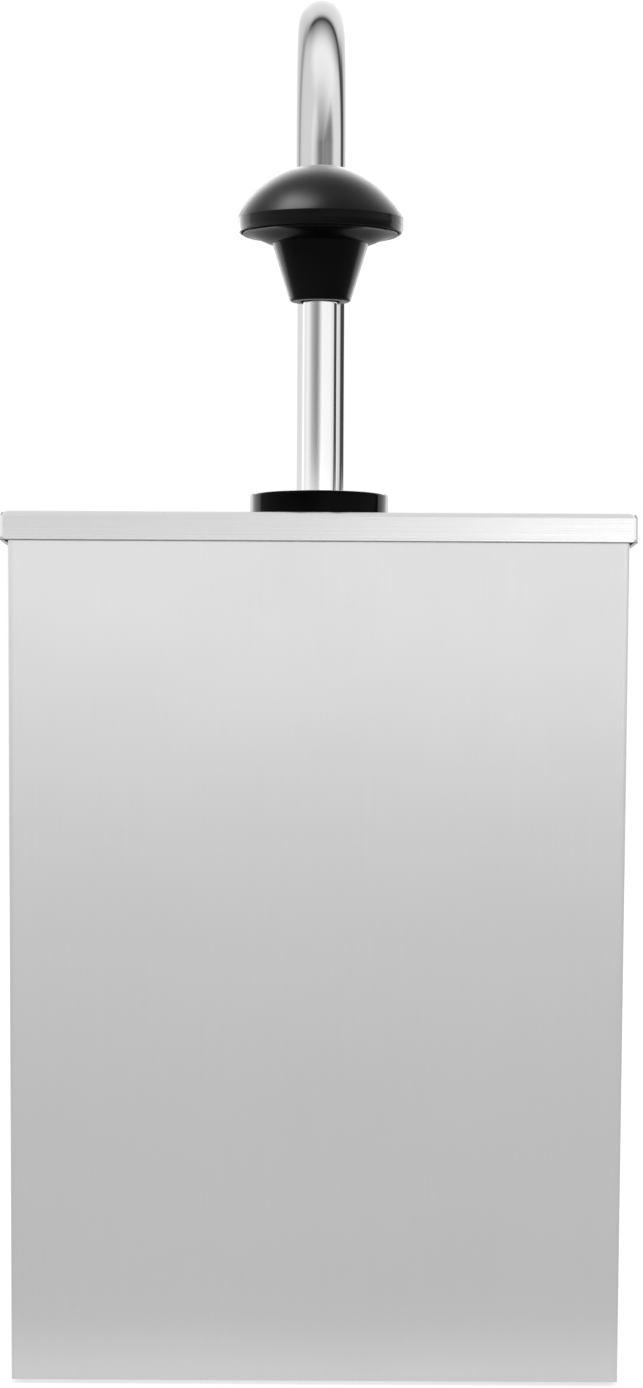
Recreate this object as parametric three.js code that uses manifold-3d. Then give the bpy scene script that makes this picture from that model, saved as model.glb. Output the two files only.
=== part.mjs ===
// Counter-top sauce dispenser: a steel housing with a lift-out tub, and a lid that carries
// a knob-pressed piston pump with a gooseneck discharge tube.
// Millimetres, +Z up. The spout side is +Y, and the knob is nearer the -Y side.
// The origin lies on the standing surface, midway under the whole object.

import * as THREE from 'three';
import { mergeVertices } from 'three/addons/utils/BufferGeometryUtils.js';
import Module from 'manifold-3d';

const wasm = await Module();
wasm.setup();

// Shared clearances
const seatGap = 0.3;
const sealGap = 0.15;
const overrun = 2;

// Facets: segments round a turned piece, and steps in a quarter of a rounded edge
const shownSegments = 36;
const innerSegments = 24;
const footSegments = 20;
const cageSegments = 6;
const cornerSteps = 4;
const edgeSteps = 3;

// Housing
const bodyWidth = 186.2;
const bodyDepth = 172;
const bodyHeight = 256.6;
const bodyDraft = 2.35;
const bodyCornerRadius = 1.8;
const bodyTopRadius = 1.2;
const bodyInnerCornerRadius = 0.6;
const housingSheet = 1.2;

// Feet and base plate
const footHeight = 3;
const footRadius = 7;
const footChamfer = 0.6;
const footInset = 26;
const edgeAboveGround = 1.2;
const baseSheet = 1.2;
const baseFlange = 9;

// Tub: a lift-out pan whose rim hangs on the housing's deck
const tubSheet = 1.5;
const tubRimSetback = 5.1;
const tubRimOverhang = 8;
const tubRimCornerRadius = 14;
const tubCornerRadius = 25;
const tubDraft = 7;
const tubFloorRadius = 9;
const tubClearance = 2;
const spaceUnderTub = 55.1;

// Lid
const lidSheet = 1.2;
const lidSkirt = 8.7;
const lidOverhang = 2.2;
const lidCornerRadius = 2.6;
const lidEdgeRadius = 2;

// Plunger: knob and rod
const plungerSetback = 12;
const plungerStroke = 50;
const knobLandingGap = 10.9;
const rodRadius = 5.4;
const spigotRadius = 4;
const knobRadius = 26.2;
const knobHeight = 43.2;
const knobRimHeight = 21.7;
const knobRimThickness = 1.2;
const knobRimLip = 3.7;
const knobSeamGap = 0.4;
const knobWaistRadius = 15.2;
const knobWaistHeight = 16.2;
const knobFlareDrop = 0.8;
const knobFlareSweep = 2;
const knobDomeShoulder = 4;
const knobDomeCrown = 16.5;
const knobNeckRadius = 9.5;
const knobNeckRound = 0.8;
const knobSocketRadius = 6.4;
const knobSocketDepth = 5.7;
const knobInsertRadius = 8;
const knobInsertHeight = 14;

// Collar and the guide under it
const collarRadius = 21.7;
const collarHeight = 10;
const collarRound = 0.9;
const collarTopThickness = 2.8;
const collarRodClearance = 0.7;
const bushDrop = 12;
const bushFlange = 2;
const wiperSection = 2.2;
const wiperHeight = 2.8;

// Pump cylinder
const boreRadius = 14;
const cylinderWall = 2;
const neckWall = 1.5;
const lidHoleClearance = 0.6;
const cylinderFlangeRadius = 20.5;
const cylinderFlangeThickness = 3;
const gasketThickness = 1.3;

// Piston
const pistonHeight = 12;
const pistonClearance = 0.8;
const pistonSealHeight = 2.4;
const pistonSealDepth = 2;
const pistonLand = 2;
const pistonNutRadius = 8;
const pistonNutHeight = 5;
const springWireRadius = 0.9;
const springRadius = 10.8;
const springTurns = 10;
const springSteps = 8;
const springSides = 5;

// Inlet valve
const intakeGap = 4.9;
const valveBodyWall = 2.7;
const inletRadius = 4.5;
const inletLength = 2;
const inletBallRadius = 6;
const inletSeatRise = 3;
const ballSideClearance = 1.2;
const inletBallLift = 4;
const inletGuideFlare = 2.4;
const cageThickness = 3;
const cageLedge = 2;
const cageHoleRadius = 2;
const cageHoleCount = 6;
const portRadius = 4;
const portMargin = 1;
const socketDepth = 16;
const portBossRadius = 7.5;
const portBossReach = 5;

// Outlet elbow
const riserOffset = 40;
const elbowRadius = 12;
const elbowFloor = 3;
const outletRadius = 3.6;
const outletBallRadius = 5;
const outletSeatRise = 2.5;
const outletBallLift = 2.5;
const stopPinRadius = 0.8;
const riserSocketDepth = 14;
const riserNutWall = 2;
const riserNutGrip = 10;
const riserSealHeight = 2;

// Discharge tube and the grommet that guides it through the lid
const tubeRadius = 8;
const tubeWall = 1;
const bendRadius = 48;
const spoutRise = 181.9;
const spoutDrop = 36;
const tubeSides = 16;
const bendSteps = 16;
const grommetLip = 2.3;
const grommetWall = 1.9;
const grommetFlange = 2.6;

// Heights, from the standing surface up
const deckTop = edgeAboveGround + bodyHeight;
const baseBottom = footHeight + seatGap;
const tubBottom = baseBottom + baseSheet + spaceUnderTub;
const rimBottom = deckTop + seatGap;
const rimTop = rimBottom + tubSheet;
const lidUnderside = rimTop + seatGap;
const lidTop = lidUnderside + lidSheet;
const collarBottom = lidTop + seatGap;
const collarTop = collarBottom + collarHeight;
const knobBottom = collarTop + knobLandingGap + plungerStroke;
const bendStart = lidTop + spoutRise - tubeRadius - bendRadius;

// Places along the depth, from the middle of the housing
const plungerY = -plungerSetback;
const riserY = plungerY + riserOffset;
const spoutY = riserY + 2 * bendRadius;
const spoutFront = spoutY + tubeRadius;
const lidBack = -(bodyDepth / 2 + lidOverhang);
const middleY = (spoutFront + lidBack) / 2;

// Finishes
const brushedSteel = { color: 0xc9c9c9, roughness: 0.42, metalness: 1 };
const polishedSteel = { color: 0xdedede, roughness: 0.12, metalness: 1 };
const blackPlastic = { color: 0x151515, roughness: 0.4, metalness: 0 };
const whitePlastic = { color: 0xe8e6df, roughness: 0.5, metalness: 0 };
const blackRubber = { color: 0x1c1c1c, roughness: 0.85, metalness: 0 };
const clearSilicone = { color: 0xd8d4c8, roughness: 0.6, metalness: 0 };

const assembly = new THREE.Group();
const housing = new THREE.Group();
const pump = new THREE.Group();
const discharge = new THREE.Group();
assembly.add(housing);
housing.add(pump);
pump.add(discharge);
housing.position.y = -middleY;
pump.position.y = plungerY;
discharge.position.y = riserOffset;

function addPiece(group, name, geometry, finish) {
  const material = new THREE.MeshStandardMaterial(finish);
  const mesh = new THREE.Mesh(geometry, material);
  mesh.name = name;
  group.add(mesh);
  return mesh;
}

// A closed surface through rings of equally many points, each ring running anticlockwise seen
// from +Z. The rings run from the bottom of the outside up, over and down the inside. A loop
// joins the last ring to the first, and otherwise each end is closed by a fan.
function ringSolid(rings, loop = false) {
  const count = rings[0].length;
  const points = rings.flat();
  const triangles = [];
  const joins = loop ? rings.length : rings.length - 1;
  for (let ring = 0; ring < joins; ring += 1) {
    const low = ring * count;
    const high = ((ring + 1) % rings.length) * count;
    for (let side = 0; side < count; side += 1) {
      const next = (side + 1) % count;
      triangles.push(low + side, low + next, high + next);
      triangles.push(low + side, high + next, high + side);
    }
  }
  if (!loop) {
    closeRing(points, triangles, rings[0], 0, true);
    closeRing(points, triangles, rings[rings.length - 1], (rings.length - 1) * count, false);
  }
  const geometry = new THREE.BufferGeometry();
  geometry.setFromPoints(points);
  geometry.setIndex(triangles);
  return geometry;
}

function closeRing(points, triangles, ring, start, isFirst) {
  const middle = new THREE.Vector3();
  ring.forEach((point) => middle.add(point));
  middle.divideScalar(ring.length);
  const centre = points.length;
  points.push(middle);
  for (let side = 0; side < ring.length; side += 1) {
    const next = (side + 1) % ring.length;
    if (isFirst) {
      triangles.push(start + next, start + side, centre);
    } else {
      triangles.push(start + side, start + next, centre);
    }
  }
}

// A level ring in the shape of a rectangle with rounded corners
function rectangleRing(halfWidth, halfDepth, cornerRadius, height) {
  const ring = [];
  const corners = [[1, -1, -Math.PI / 2], [1, 1, 0], [-1, 1, Math.PI / 2], [-1, -1, Math.PI]];
  corners.forEach(([signX, signY, startAngle]) => {
    for (let step = 0; step <= cornerSteps; step += 1) {
      const angle = startAngle + (step / cornerSteps) * (Math.PI / 2);
      const x = signX * (halfWidth - cornerRadius) + cornerRadius * Math.cos(angle);
      const y = signY * (halfDepth - cornerRadius) + cornerRadius * Math.sin(angle);
      ring.push(new THREE.Vector3(x, y, height));
    }
  });
  return ring;
}

// Points of a rounded edge in an outline, from one angle to another
function roundEdge(centreRadius, centreHeight, radius, from, to, steps = edgeSteps) {
  const points = [];
  for (let step = 0; step <= steps; step += 1) {
    const angle = from + ((to - from) * step) / steps;
    points.push([centreRadius + radius * Math.cos(angle), centreHeight + radius * Math.sin(angle)]);
  }
  return points;
}

// A piece turned about the vertical axis. The outline runs up the outside, and a ring closes on
// itself, while a piece with a solid core starts and ends on the axis.
function turned(outline, segments, isRing = true) {
  const profile = outline.map(([radius, height]) => new THREE.Vector2(radius, height));
  if (isRing) {
    profile.push(profile[0].clone());
  }
  const geometry = new THREE.LatheGeometry(profile, segments);
  geometry.rotateX(Math.PI / 2);
  return geometry;
}

// A plain ring with a rectangular section
function plainRing(innerRadius, outerRadius, bottom, top, segments) {
  const outline = [[innerRadius, bottom], [outerRadius, bottom], [outerRadius, top], [innerRadius, top]];
  return turned(outline, segments);
}

function toSolid(geometry) {
  const bare = geometry.clone();
  bare.deleteAttribute('normal');
  bare.deleteAttribute('uv');
  const merged = mergeVertices(bare);
  const mesh = new wasm.Mesh({
    numProp: 3,
    vertProperties: new Float32Array(merged.getAttribute('position').array),
    triVerts: new Uint32Array(merged.getIndex().array),
  });
  return new wasm.Manifold(mesh);
}

function toGeometry(solid) {
  const mesh = solid.getMesh();
  const geometry = new THREE.BufferGeometry();
  geometry.setAttribute('position', new THREE.BufferAttribute(mesh.vertProperties, 3));
  geometry.setIndex(new THREE.BufferAttribute(mesh.triVerts, 1));
  return geometry;
}

// A bar for drilling or joining: its length runs along the given axis
function bar(radius, length, axis, x, y, z) {
  const geometry = new THREE.CylinderGeometry(radius, radius, length, innerSegments);
  if (axis === 'x') {
    geometry.rotateZ(Math.PI / 2);
  }
  if (axis === 'z') {
    geometry.rotateX(Math.PI / 2);
  }
  geometry.translate(x, y, z);
  return toSolid(geometry);
}

// Housing shell: one sheet box with drawn-in walls and a deck that the tub hangs on
const bodyHalfWidth = bodyWidth / 2;
const bodyHalfDepth = bodyDepth / 2;
const rimHalfWidth = bodyHalfWidth - tubRimSetback;
const rimHalfDepth = bodyHalfDepth - tubRimSetback;
const tubHalfWidth = rimHalfWidth - tubRimOverhang;
const tubHalfDepth = rimHalfDepth - tubRimOverhang;

function wallRing(height, inset, radius = bodyCornerRadius) {
  const drawnIn = bodyDraft * ((deckTop - height) / bodyHeight);
  return rectangleRing(bodyHalfWidth - drawnIn - inset, bodyHalfDepth - drawnIn - inset, radius, height);
}

function makeHousingShell() {
  const topRound = roundEdge(-bodyTopRadius, deckTop - bodyTopRadius, bodyTopRadius, 0, Math.PI / 2);
  const rings = [wallRing(edgeAboveGround, 0)];
  topRound.forEach(([out, height]) => rings.push(wallRing(height, -out)));
  const openingWidth = tubHalfWidth + tubClearance;
  const openingDepth = tubHalfDepth + tubClearance;
  const openingRadius = tubCornerRadius + tubClearance;
  const deckUnderside = deckTop - housingSheet;
  rings.push(rectangleRing(openingWidth, openingDepth, openingRadius, deckTop));
  rings.push(rectangleRing(openingWidth, openingDepth, openingRadius, deckUnderside));
  rings.push(wallRing(deckUnderside, housingSheet, bodyInnerCornerRadius));
  rings.push(wallRing(edgeAboveGround, housingSheet, bodyInnerCornerRadius));
  return ringSolid(rings, true);
}

addPiece(housing, 'housing_shell', makeHousingShell(), brushedSteel);

// Base plate: a shallow tray whose flange stands against the inside of the walls
function makeBasePlate() {
  const inset = housingSheet + seatGap;
  const flangeTop = baseBottom + baseFlange;
  const floorTop = baseBottom + baseSheet;
  const rings = [
    wallRing(baseBottom, inset),
    wallRing(flangeTop, inset),
    wallRing(flangeTop, inset + baseSheet),
    wallRing(floorTop, inset + baseSheet),
  ];
  return ringSolid(rings);
}

addPiece(housing, 'base_plate', makeBasePlate(), brushedSteel);

// Feet: four rubber discs stuck under the base plate
function makeFoot() {
  const outline = [
    [0, 0],
    [footRadius - footChamfer, 0],
    [footRadius, footChamfer],
    [footRadius, footHeight],
    [0, footHeight],
  ];
  return turned(outline, footSegments, false);
}

const footPlaces = [
  ['front_left', -1, 1],
  ['front_right', 1, 1],
  ['rear_left', -1, -1],
  ['rear_right', 1, -1],
];
footPlaces.forEach(([place, signX, signY]) => {
  const foot = addPiece(housing, `foot_${place}`, makeFoot(), blackRubber);
  foot.position.x = signX * (bodyHalfWidth - footInset);
  foot.position.y = signY * (bodyHalfDepth - footInset);
});

// Tub
function tubRing(height, inset) {
  const drawnIn = tubDraft * ((rimTop - height) / (rimTop - tubBottom));
  const radius = tubCornerRadius - inset;
  return rectangleRing(tubHalfWidth - drawnIn - inset, tubHalfDepth - drawnIn - inset, radius, height);
}

function makeTub() {
  const rings = [];
  const outerRound = roundEdge(-tubFloorRadius, tubBottom + tubFloorRadius, tubFloorRadius, -Math.PI / 2, 0);
  outerRound.forEach(([out, height]) => rings.push(tubRing(height, -out)));
  rings.push(tubRing(rimBottom, 0));
  rings.push(rectangleRing(rimHalfWidth, rimHalfDepth, tubRimCornerRadius, rimBottom));
  rings.push(rectangleRing(rimHalfWidth, rimHalfDepth, tubRimCornerRadius, rimTop));
  rings.push(tubRing(rimTop, tubSheet));
  const innerRadius = tubFloorRadius - tubSheet;
  const innerRound = roundEdge(-tubFloorRadius, tubBottom + tubFloorRadius, innerRadius, 0, -Math.PI / 2);
  innerRound.forEach(([out, height]) => rings.push(tubRing(height, -out)));
  return ringSolid(rings);
}

addPiece(housing, 'food_tub', makeTub(), brushedSteel);

// Lid: a flat plate with a turned-down skirt, and a hole each for the pump and the riser
const lidHalfWidth = bodyHalfWidth + lidOverhang;
const lidHalfDepth = bodyHalfDepth + lidOverhang;
const neckRadius = boreRadius + neckWall;
const lidHoleRadius = neckRadius + lidHoleClearance;
const grommetRadius = tubeRadius + seatGap + grommetWall;
const riserHoleRadius = grommetRadius + seatGap;

function lidRing(height, inset) {
  return rectangleRing(lidHalfWidth - inset, lidHalfDepth - inset, lidCornerRadius - inset, height);
}

function makeLid() {
  const skirtBottom = lidTop - lidSkirt;
  const innerEdge = lidEdgeRadius - lidSheet;
  const roundHeight = lidTop - lidEdgeRadius;
  const innerRound = roundEdge(-lidEdgeRadius, roundHeight, innerEdge, Math.PI / 2, 0);
  const outerRound = roundEdge(-lidEdgeRadius, roundHeight, lidEdgeRadius, 0, Math.PI / 2);
  const rings = [
    ...innerRound.map(([out, height]) => lidRing(height, -out)),
    lidRing(skirtBottom, lidSheet),
    lidRing(skirtBottom, 0),
    ...outerRound.map(([out, height]) => lidRing(height, -out)),
  ];
  const shell = toSolid(ringSolid(rings));
  const pumpHole = bar(lidHoleRadius, lidSheet + 2 * overrun, 'z', 0, plungerY, lidTop - lidSheet / 2);
  const riserHole = bar(riserHoleRadius, lidSheet + 2 * overrun, 'z', 0, riserY, lidTop - lidSheet / 2);
  return toGeometry(shell.subtract(pumpHole).subtract(riserHole));
}

addPiece(housing, 'lid', makeLid(), brushedSteel);

// Collar: a threaded cap that clamps the pump to the lid
const collarCeiling = collarTop - collarTopThickness;
const bushFlangeBottom = collarCeiling - seatGap - bushFlange;
const neckTop = bushFlangeBottom - seatGap;

function makeCollar() {
  const threadRadius = neckRadius + seatGap;
  const holeRadius = rodRadius + collarRodClearance;
  const outline = [
    [threadRadius, collarBottom],
    [collarRadius, collarBottom],
    ...roundEdge(collarRadius - collarRound, collarTop - collarRound, collarRound, 0, Math.PI / 2),
    [holeRadius, collarTop],
    [holeRadius, collarCeiling],
    [threadRadius, collarCeiling],
  ];
  return turned(outline, shownSegments);
}

addPiece(pump, 'pump_collar', makeCollar(), blackPlastic);

// Rod bush: guides the rod and stops the piston at the top of its stroke
const bushBottom = lidUnderside - bushDrop;

function makeBush() {
  const guideRadius = rodRadius + seatGap;
  const bodyRadius = boreRadius - seatGap;
  const bushTop = collarCeiling - seatGap;
  const pocketRadius = guideRadius + wiperSection + seatGap;
  const pocketBottom = bushTop - wiperHeight - seatGap;
  const outline = [
    [guideRadius, bushBottom],
    [bodyRadius, bushBottom],
    [bodyRadius, bushFlangeBottom],
    [neckRadius, bushFlangeBottom],
    [neckRadius, bushTop],
    [pocketRadius, bushTop],
    [pocketRadius, pocketBottom],
    [guideRadius, pocketBottom],
  ];
  return turned(outline, innerSegments);
}

function makeWiper() {
  const top = collarCeiling - seatGap;
  const inner = rodRadius + sealGap;
  return plainRing(inner, rodRadius + seatGap + wiperSection, top - wiperHeight, top, innerSegments);
}

addPiece(pump, 'rod_bush', makeBush(), whitePlastic);
addPiece(pump, 'rod_wiper', makeWiper(), blackRubber);

// Inlet valve heights, from the intake up
const valveBottom = tubBottom + tubSheet + intakeGap;
const inletSeat = valveBottom + inletLength;
const inletBallRest = inletSeat + Math.sqrt(inletBallRadius ** 2 - inletRadius ** 2) + seatGap;
const cageBottom = inletBallRest + inletBallRadius + inletBallLift + seatGap;
const cageTop = cageBottom + cageThickness;
const portHeight = cageTop + portMargin + portRadius;
const cylinderShoulder = portHeight + portRadius + portMargin;
const cylinderBottom = cylinderShoulder + gasketThickness + 2 * seatGap;
const valveTop = cylinderShoulder + socketDepth;
const cylinderRadius = boreRadius + cylinderWall;

// Pump cylinder: hangs below the lid by its flange, with a threaded neck through the lid
const gasketTop = lidUnderside - seatGap;
const cylinderFlangeTop = gasketTop - gasketThickness - seatGap;

function makeCylinder() {
  const flangeBottom = cylinderFlangeTop - cylinderFlangeThickness;
  const outline = [
    [boreRadius, cylinderBottom],
    [cylinderRadius, cylinderBottom],
    [cylinderRadius, flangeBottom],
    [cylinderFlangeRadius, flangeBottom],
    [cylinderFlangeRadius, cylinderFlangeTop],
    [neckRadius, cylinderFlangeTop],
    [neckRadius, neckTop],
    [boreRadius, neckTop],
  ];
  return turned(outline, innerSegments);
}

function makeLidGasket() {
  const inner = neckRadius + seatGap;
  return plainRing(inner, cylinderFlangeRadius, gasketTop - gasketThickness, gasketTop, innerSegments);
}

function makeCylinderGasket() {
  const bottom = cylinderShoulder + seatGap;
  return plainRing(boreRadius, cylinderRadius, bottom, bottom + gasketThickness, innerSegments);
}

addPiece(pump, 'pump_cylinder', makeCylinder(), brushedSteel);
addPiece(pump, 'lid_gasket', makeLidGasket(), clearSilicone);
addPiece(pump, 'cylinder_gasket', makeCylinderGasket(), clearSilicone);

// Valve body: screws onto the cylinder and holds the inlet ball, its seat and the side port
const valveRadius = cylinderRadius + seatGap + valveBodyWall;
const ballGuideRadius = inletBallRadius + ballSideClearance;

function makeValveBody() {
  const ledge = cageBottom - seatGap;
  const ledgeRadius = boreRadius - cageLedge;
  const socketRadius = cylinderRadius + seatGap;
  const outline = [
    [inletRadius, valveBottom],
    [valveRadius, valveBottom],
    [valveRadius, valveTop],
    [socketRadius, valveTop],
    [socketRadius, cylinderShoulder],
    [boreRadius, cylinderShoulder],
    [boreRadius, ledge],
    [ledgeRadius, ledge],
    [ballGuideRadius, ledge - inletGuideFlare],
    [ballGuideRadius, inletSeat + inletSeatRise],
    [inletRadius, inletSeat],
  ];
  const turnedBody = toSolid(turned(outline, innerSegments));
  const bossInside = (boreRadius + valveRadius) / 2;
  const bossOutside = valveRadius + portBossReach;
  const bossMiddle = (bossInside + bossOutside) / 2;
  const boss = bar(portBossRadius, bossOutside - bossInside, 'y', 0, bossMiddle, portHeight);
  const port = bar(portRadius, bossOutside + overrun, 'y', 0, (bossOutside + overrun) / 2, portHeight);
  return toGeometry(turnedBody.add(boss).subtract(port));
}

function makeCage() {
  const plate = new THREE.Shape();
  plate.absarc(0, 0, boreRadius - seatGap, 0, Math.PI * 2);
  const holeCircle = (boreRadius - cageLedge + inletRadius) / 2;
  for (let index = 0; index < cageHoleCount; index += 1) {
    const angle = (index / cageHoleCount) * Math.PI * 2;
    const hole = new THREE.Path();
    hole.absarc(holeCircle * Math.cos(angle), holeCircle * Math.sin(angle), cageHoleRadius, 0, Math.PI * 2);
    plate.holes.push(hole);
  }
  const options = { depth: cageThickness, bevelEnabled: false, curveSegments: cageSegments };
  const geometry = new THREE.ExtrudeGeometry(plate, options);
  geometry.translate(0, 0, cageBottom);
  return geometry;
}

function makeBall(radius, height) {
  const geometry = new THREE.SphereGeometry(radius, innerSegments / 2, innerSegments / 3);
  geometry.rotateX(Math.PI / 2);
  geometry.translate(0, 0, height);
  return geometry;
}

addPiece(pump, 'valve_body', makeValveBody(), whitePlastic);
addPiece(pump, 'inlet_ball', makeBall(inletBallRadius, inletBallRest), polishedSteel);
addPiece(pump, 'inlet_cage', makeCage(), brushedSteel);

// Piston and its seals, just under the bush at rest
const pistonTop = bushBottom - seatGap;
const pistonBottom = pistonTop - pistonHeight;
const pistonRadius = boreRadius - pistonClearance;
const grooveRadius = boreRadius - sealGap - pistonSealDepth - seatGap;
const grooveHeight = pistonSealHeight + 2 * seatGap;
const lowerGroove = pistonBottom + pistonLand;
const upperGroove = pistonTop - pistonLand - grooveHeight;
const spigotHole = spigotRadius + seatGap;

function makePiston() {
  const outline = [[spigotHole, pistonBottom], [pistonRadius, pistonBottom]];
  [lowerGroove, upperGroove].forEach((bottom) => {
    outline.push([pistonRadius, bottom]);
    outline.push([grooveRadius, bottom]);
    outline.push([grooveRadius, bottom + grooveHeight]);
    outline.push([pistonRadius, bottom + grooveHeight]);
  });
  outline.push([pistonRadius, pistonTop], [spigotHole, pistonTop]);
  return turned(outline, innerSegments);
}

function makePistonSeal(groove) {
  const outer = boreRadius - sealGap;
  const bottom = groove + seatGap;
  return plainRing(outer - pistonSealDepth, outer, bottom, bottom + pistonSealHeight, innerSegments);
}

const nutTop = pistonBottom - seatGap;
const nutBottom = nutTop - pistonNutHeight;

function makePistonNut() {
  return plainRing(spigotHole, pistonNutRadius, nutBottom, nutTop, innerSegments);
}

addPiece(pump, 'piston', makePiston(), whitePlastic);
addPiece(pump, 'piston_seal_lower', makePistonSeal(lowerGroove), blackRubber);
addPiece(pump, 'piston_seal_upper', makePistonSeal(upperGroove), blackRubber);
addPiece(pump, 'piston_nut', makePistonNut(), brushedSteel);

// Plunger rod: full thickness from the piston to the knob, with a thinner spigot at each end
const insertBottom = knobBottom + knobSocketDepth + seatGap;
const insertTop = insertBottom + knobInsertHeight;

function makeRod() {
  const shoulderBottom = pistonTop + seatGap;
  const shoulderTop = insertBottom - seatGap;
  const outline = [
    [0, nutBottom],
    [spigotRadius, nutBottom],
    [spigotRadius, shoulderBottom],
    [rodRadius, shoulderBottom],
    [rodRadius, shoulderTop],
    [spigotRadius, shoulderTop],
    [spigotRadius, insertTop],
    [0, insertTop],
  ];
  return turned(outline, innerSegments, false);
}

function makeKnobInsert() {
  return plainRing(spigotHole, knobInsertRadius, insertBottom, insertTop, innerSegments);
}

addPiece(pump, 'plunger_rod', makeRod(), polishedSteel);
addPiece(pump, 'knob_insert', makeKnobInsert(), brushedSteel);

// Knob: a flared body on a cone, closed by a domed cap with a seam just inside its rim
const knobTop = knobBottom + knobHeight;
const knobRim = knobBottom + knobRimHeight;
const capCeiling = knobRim + knobRimLip + seatGap;
const flareRadius = knobRadius - knobRimThickness - knobSeamGap;

function makeKnobBody() {
  const pocketRadius = knobInsertRadius + seatGap;
  const waist = knobBottom + knobWaistHeight;
  const flareBottom = knobRim - knobFlareDrop;
  const flareTop = knobRim + knobRimLip;
  const outline = [
    [0, insertTop + seatGap],
    [pocketRadius, insertTop + seatGap],
    [pocketRadius, insertBottom - seatGap],
    [knobSocketRadius, insertBottom - seatGap],
    [knobSocketRadius, knobBottom],
    ...roundEdge(knobNeckRadius - knobNeckRound, knobBottom + knobNeckRound, knobNeckRound, -Math.PI / 2, 0),
    [knobWaistRadius, waist],
  ];
  const flare = new THREE.QuadraticBezierCurve(
    new THREE.Vector2(knobWaistRadius, waist),
    new THREE.Vector2(knobWaistRadius + knobFlareSweep, flareBottom),
    new THREE.Vector2(flareRadius, flareBottom),
  );
  flare.getPoints(cornerSteps).slice(1).forEach((point) => outline.push([point.x, point.y]));
  outline.push([flareRadius, flareTop], [0, flareTop]);
  return turned(outline, shownSegments, false);
}

function makeKnobCap() {
  const seamRadius = knobRadius - knobRimThickness;
  const widest = knobRim + knobRimLip;
  const outline = [
    [0, capCeiling],
    [seamRadius, capCeiling],
    [seamRadius, knobRim],
    [knobRadius - knobRimThickness / 2, knobRim],
    [knobRadius, (knobRim + widest) / 2],
  ];
  const dome = new THREE.CubicBezierCurve(
    new THREE.Vector2(knobRadius, widest),
    new THREE.Vector2(knobRadius, widest + knobDomeShoulder),
    new THREE.Vector2(knobDomeCrown, knobTop),
    new THREE.Vector2(0, knobTop),
  );
  dome.getPoints(2 * cornerSteps).forEach((point) => outline.push([point.x, point.y]));
  return turned(outline, shownSegments, false);
}

addPiece(pump, 'knob_body', makeKnobBody(), blackPlastic);
addPiece(pump, 'knob_cap', makeKnobCap(), blackPlastic);

// Return spring: one unbroken wire between the inlet cage and the piston nut
function makeSpring() {
  const bottom = cageTop + seatGap + springWireRadius;
  const top = nutBottom - seatGap - springWireRadius;
  const climb = top - bottom;
  const steps = springTurns * springSteps;
  const rings = [];
  for (let step = 0; step <= steps; step += 1) {
    const angle = (step / springSteps) * Math.PI * 2;
    const outward = new THREE.Vector3(Math.cos(angle), Math.sin(angle), 0);
    const slope = climb / (springTurns * Math.PI * 2 * springRadius);
    const along = new THREE.Vector3(-Math.sin(angle), Math.cos(angle), slope);
    const across = new THREE.Vector3().crossVectors(along.normalize(), outward);
    const centre = outward.clone().multiplyScalar(springRadius);
    centre.z = bottom + (step / steps) * climb;
    const ring = [];
    for (let side = 0; side < springSides; side += 1) {
      const turn = (side / springSides) * Math.PI * 2;
      const point = centre.clone();
      point.addScaledVector(outward, springWireRadius * Math.cos(turn));
      point.addScaledVector(across, springWireRadius * Math.sin(turn));
      ring.push(point);
    }
    rings.push(ring);
  }
  const pitch = climb / springTurns;
  console.log(`return_spring: least gap between turns ${(pitch - 2 * springWireRadius).toFixed(2)} mm`);
  return ringSolid(rings);
}

addPiece(pump, 'return_spring', makeSpring(), polishedSteel);

// Outlet elbow: takes the port's flow up past the outlet ball and holds the riser's foot
const bossEnd = valveRadius + portBossReach;
const outletSeat = portHeight + portRadius + portMargin;
const outletBallRest = outletSeat + Math.sqrt(outletBallRadius ** 2 - outletRadius ** 2) + seatGap;
const stopPinHeight = outletBallRest + outletBallRadius + outletBallLift + seatGap + stopPinRadius;
const riserShoulder = stopPinHeight + stopPinRadius + 2 * portMargin;
const elbowTop = riserShoulder + riserSocketDepth;
const elbowBottom = portHeight - portRadius - elbowFloor;
const outletGuideRadius = outletBallRadius + ballSideClearance;
const riserSocketRadius = tubeRadius + seatGap;
const nubEnd = bossEnd + gasketThickness + 2 * seatGap - riserOffset;

function makeElbow() {
  const outline = [
    [0, elbowBottom],
    [elbowRadius, elbowBottom],
    [elbowRadius, elbowTop],
    [riserSocketRadius, elbowTop],
    [riserSocketRadius, riserShoulder],
    [outletGuideRadius, riserShoulder],
    [outletGuideRadius, outletSeat + outletSeatRise],
    [outletRadius, outletSeat],
    [outletRadius, portHeight],
    [0, portHeight],
  ];
  const post = toSolid(turned(outline, innerSegments, false));
  const nubInside = -(outletGuideRadius + elbowRadius) / 2;
  const nub = bar(portBossRadius, nubInside - nubEnd, 'y', 0, (nubInside + nubEnd) / 2, portHeight);
  const port = bar(portRadius, overrun - nubEnd, 'y', 0, (nubEnd - overrun) / 2, portHeight);
  const pinHole = bar(stopPinRadius + seatGap, 2 * (elbowRadius + overrun), 'x', 0, 0, stopPinHeight);
  return toGeometry(post.add(nub).subtract(port).subtract(pinHole));
}

function makePortGasket() {
  const geometry = plainRing(portRadius, portBossRadius, 0, gasketThickness, innerSegments);
  geometry.rotateX(-Math.PI / 2);
  geometry.translate(0, bossEnd + seatGap - riserOffset, portHeight);
  return geometry;
}

function makeStopPin() {
  const pinLength = 2 * elbowRadius;
  const geometry = new THREE.CylinderGeometry(stopPinRadius, stopPinRadius, pinLength, innerSegments / 2);
  geometry.rotateZ(Math.PI / 2);
  geometry.translate(0, 0, stopPinHeight);
  return geometry;
}

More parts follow.
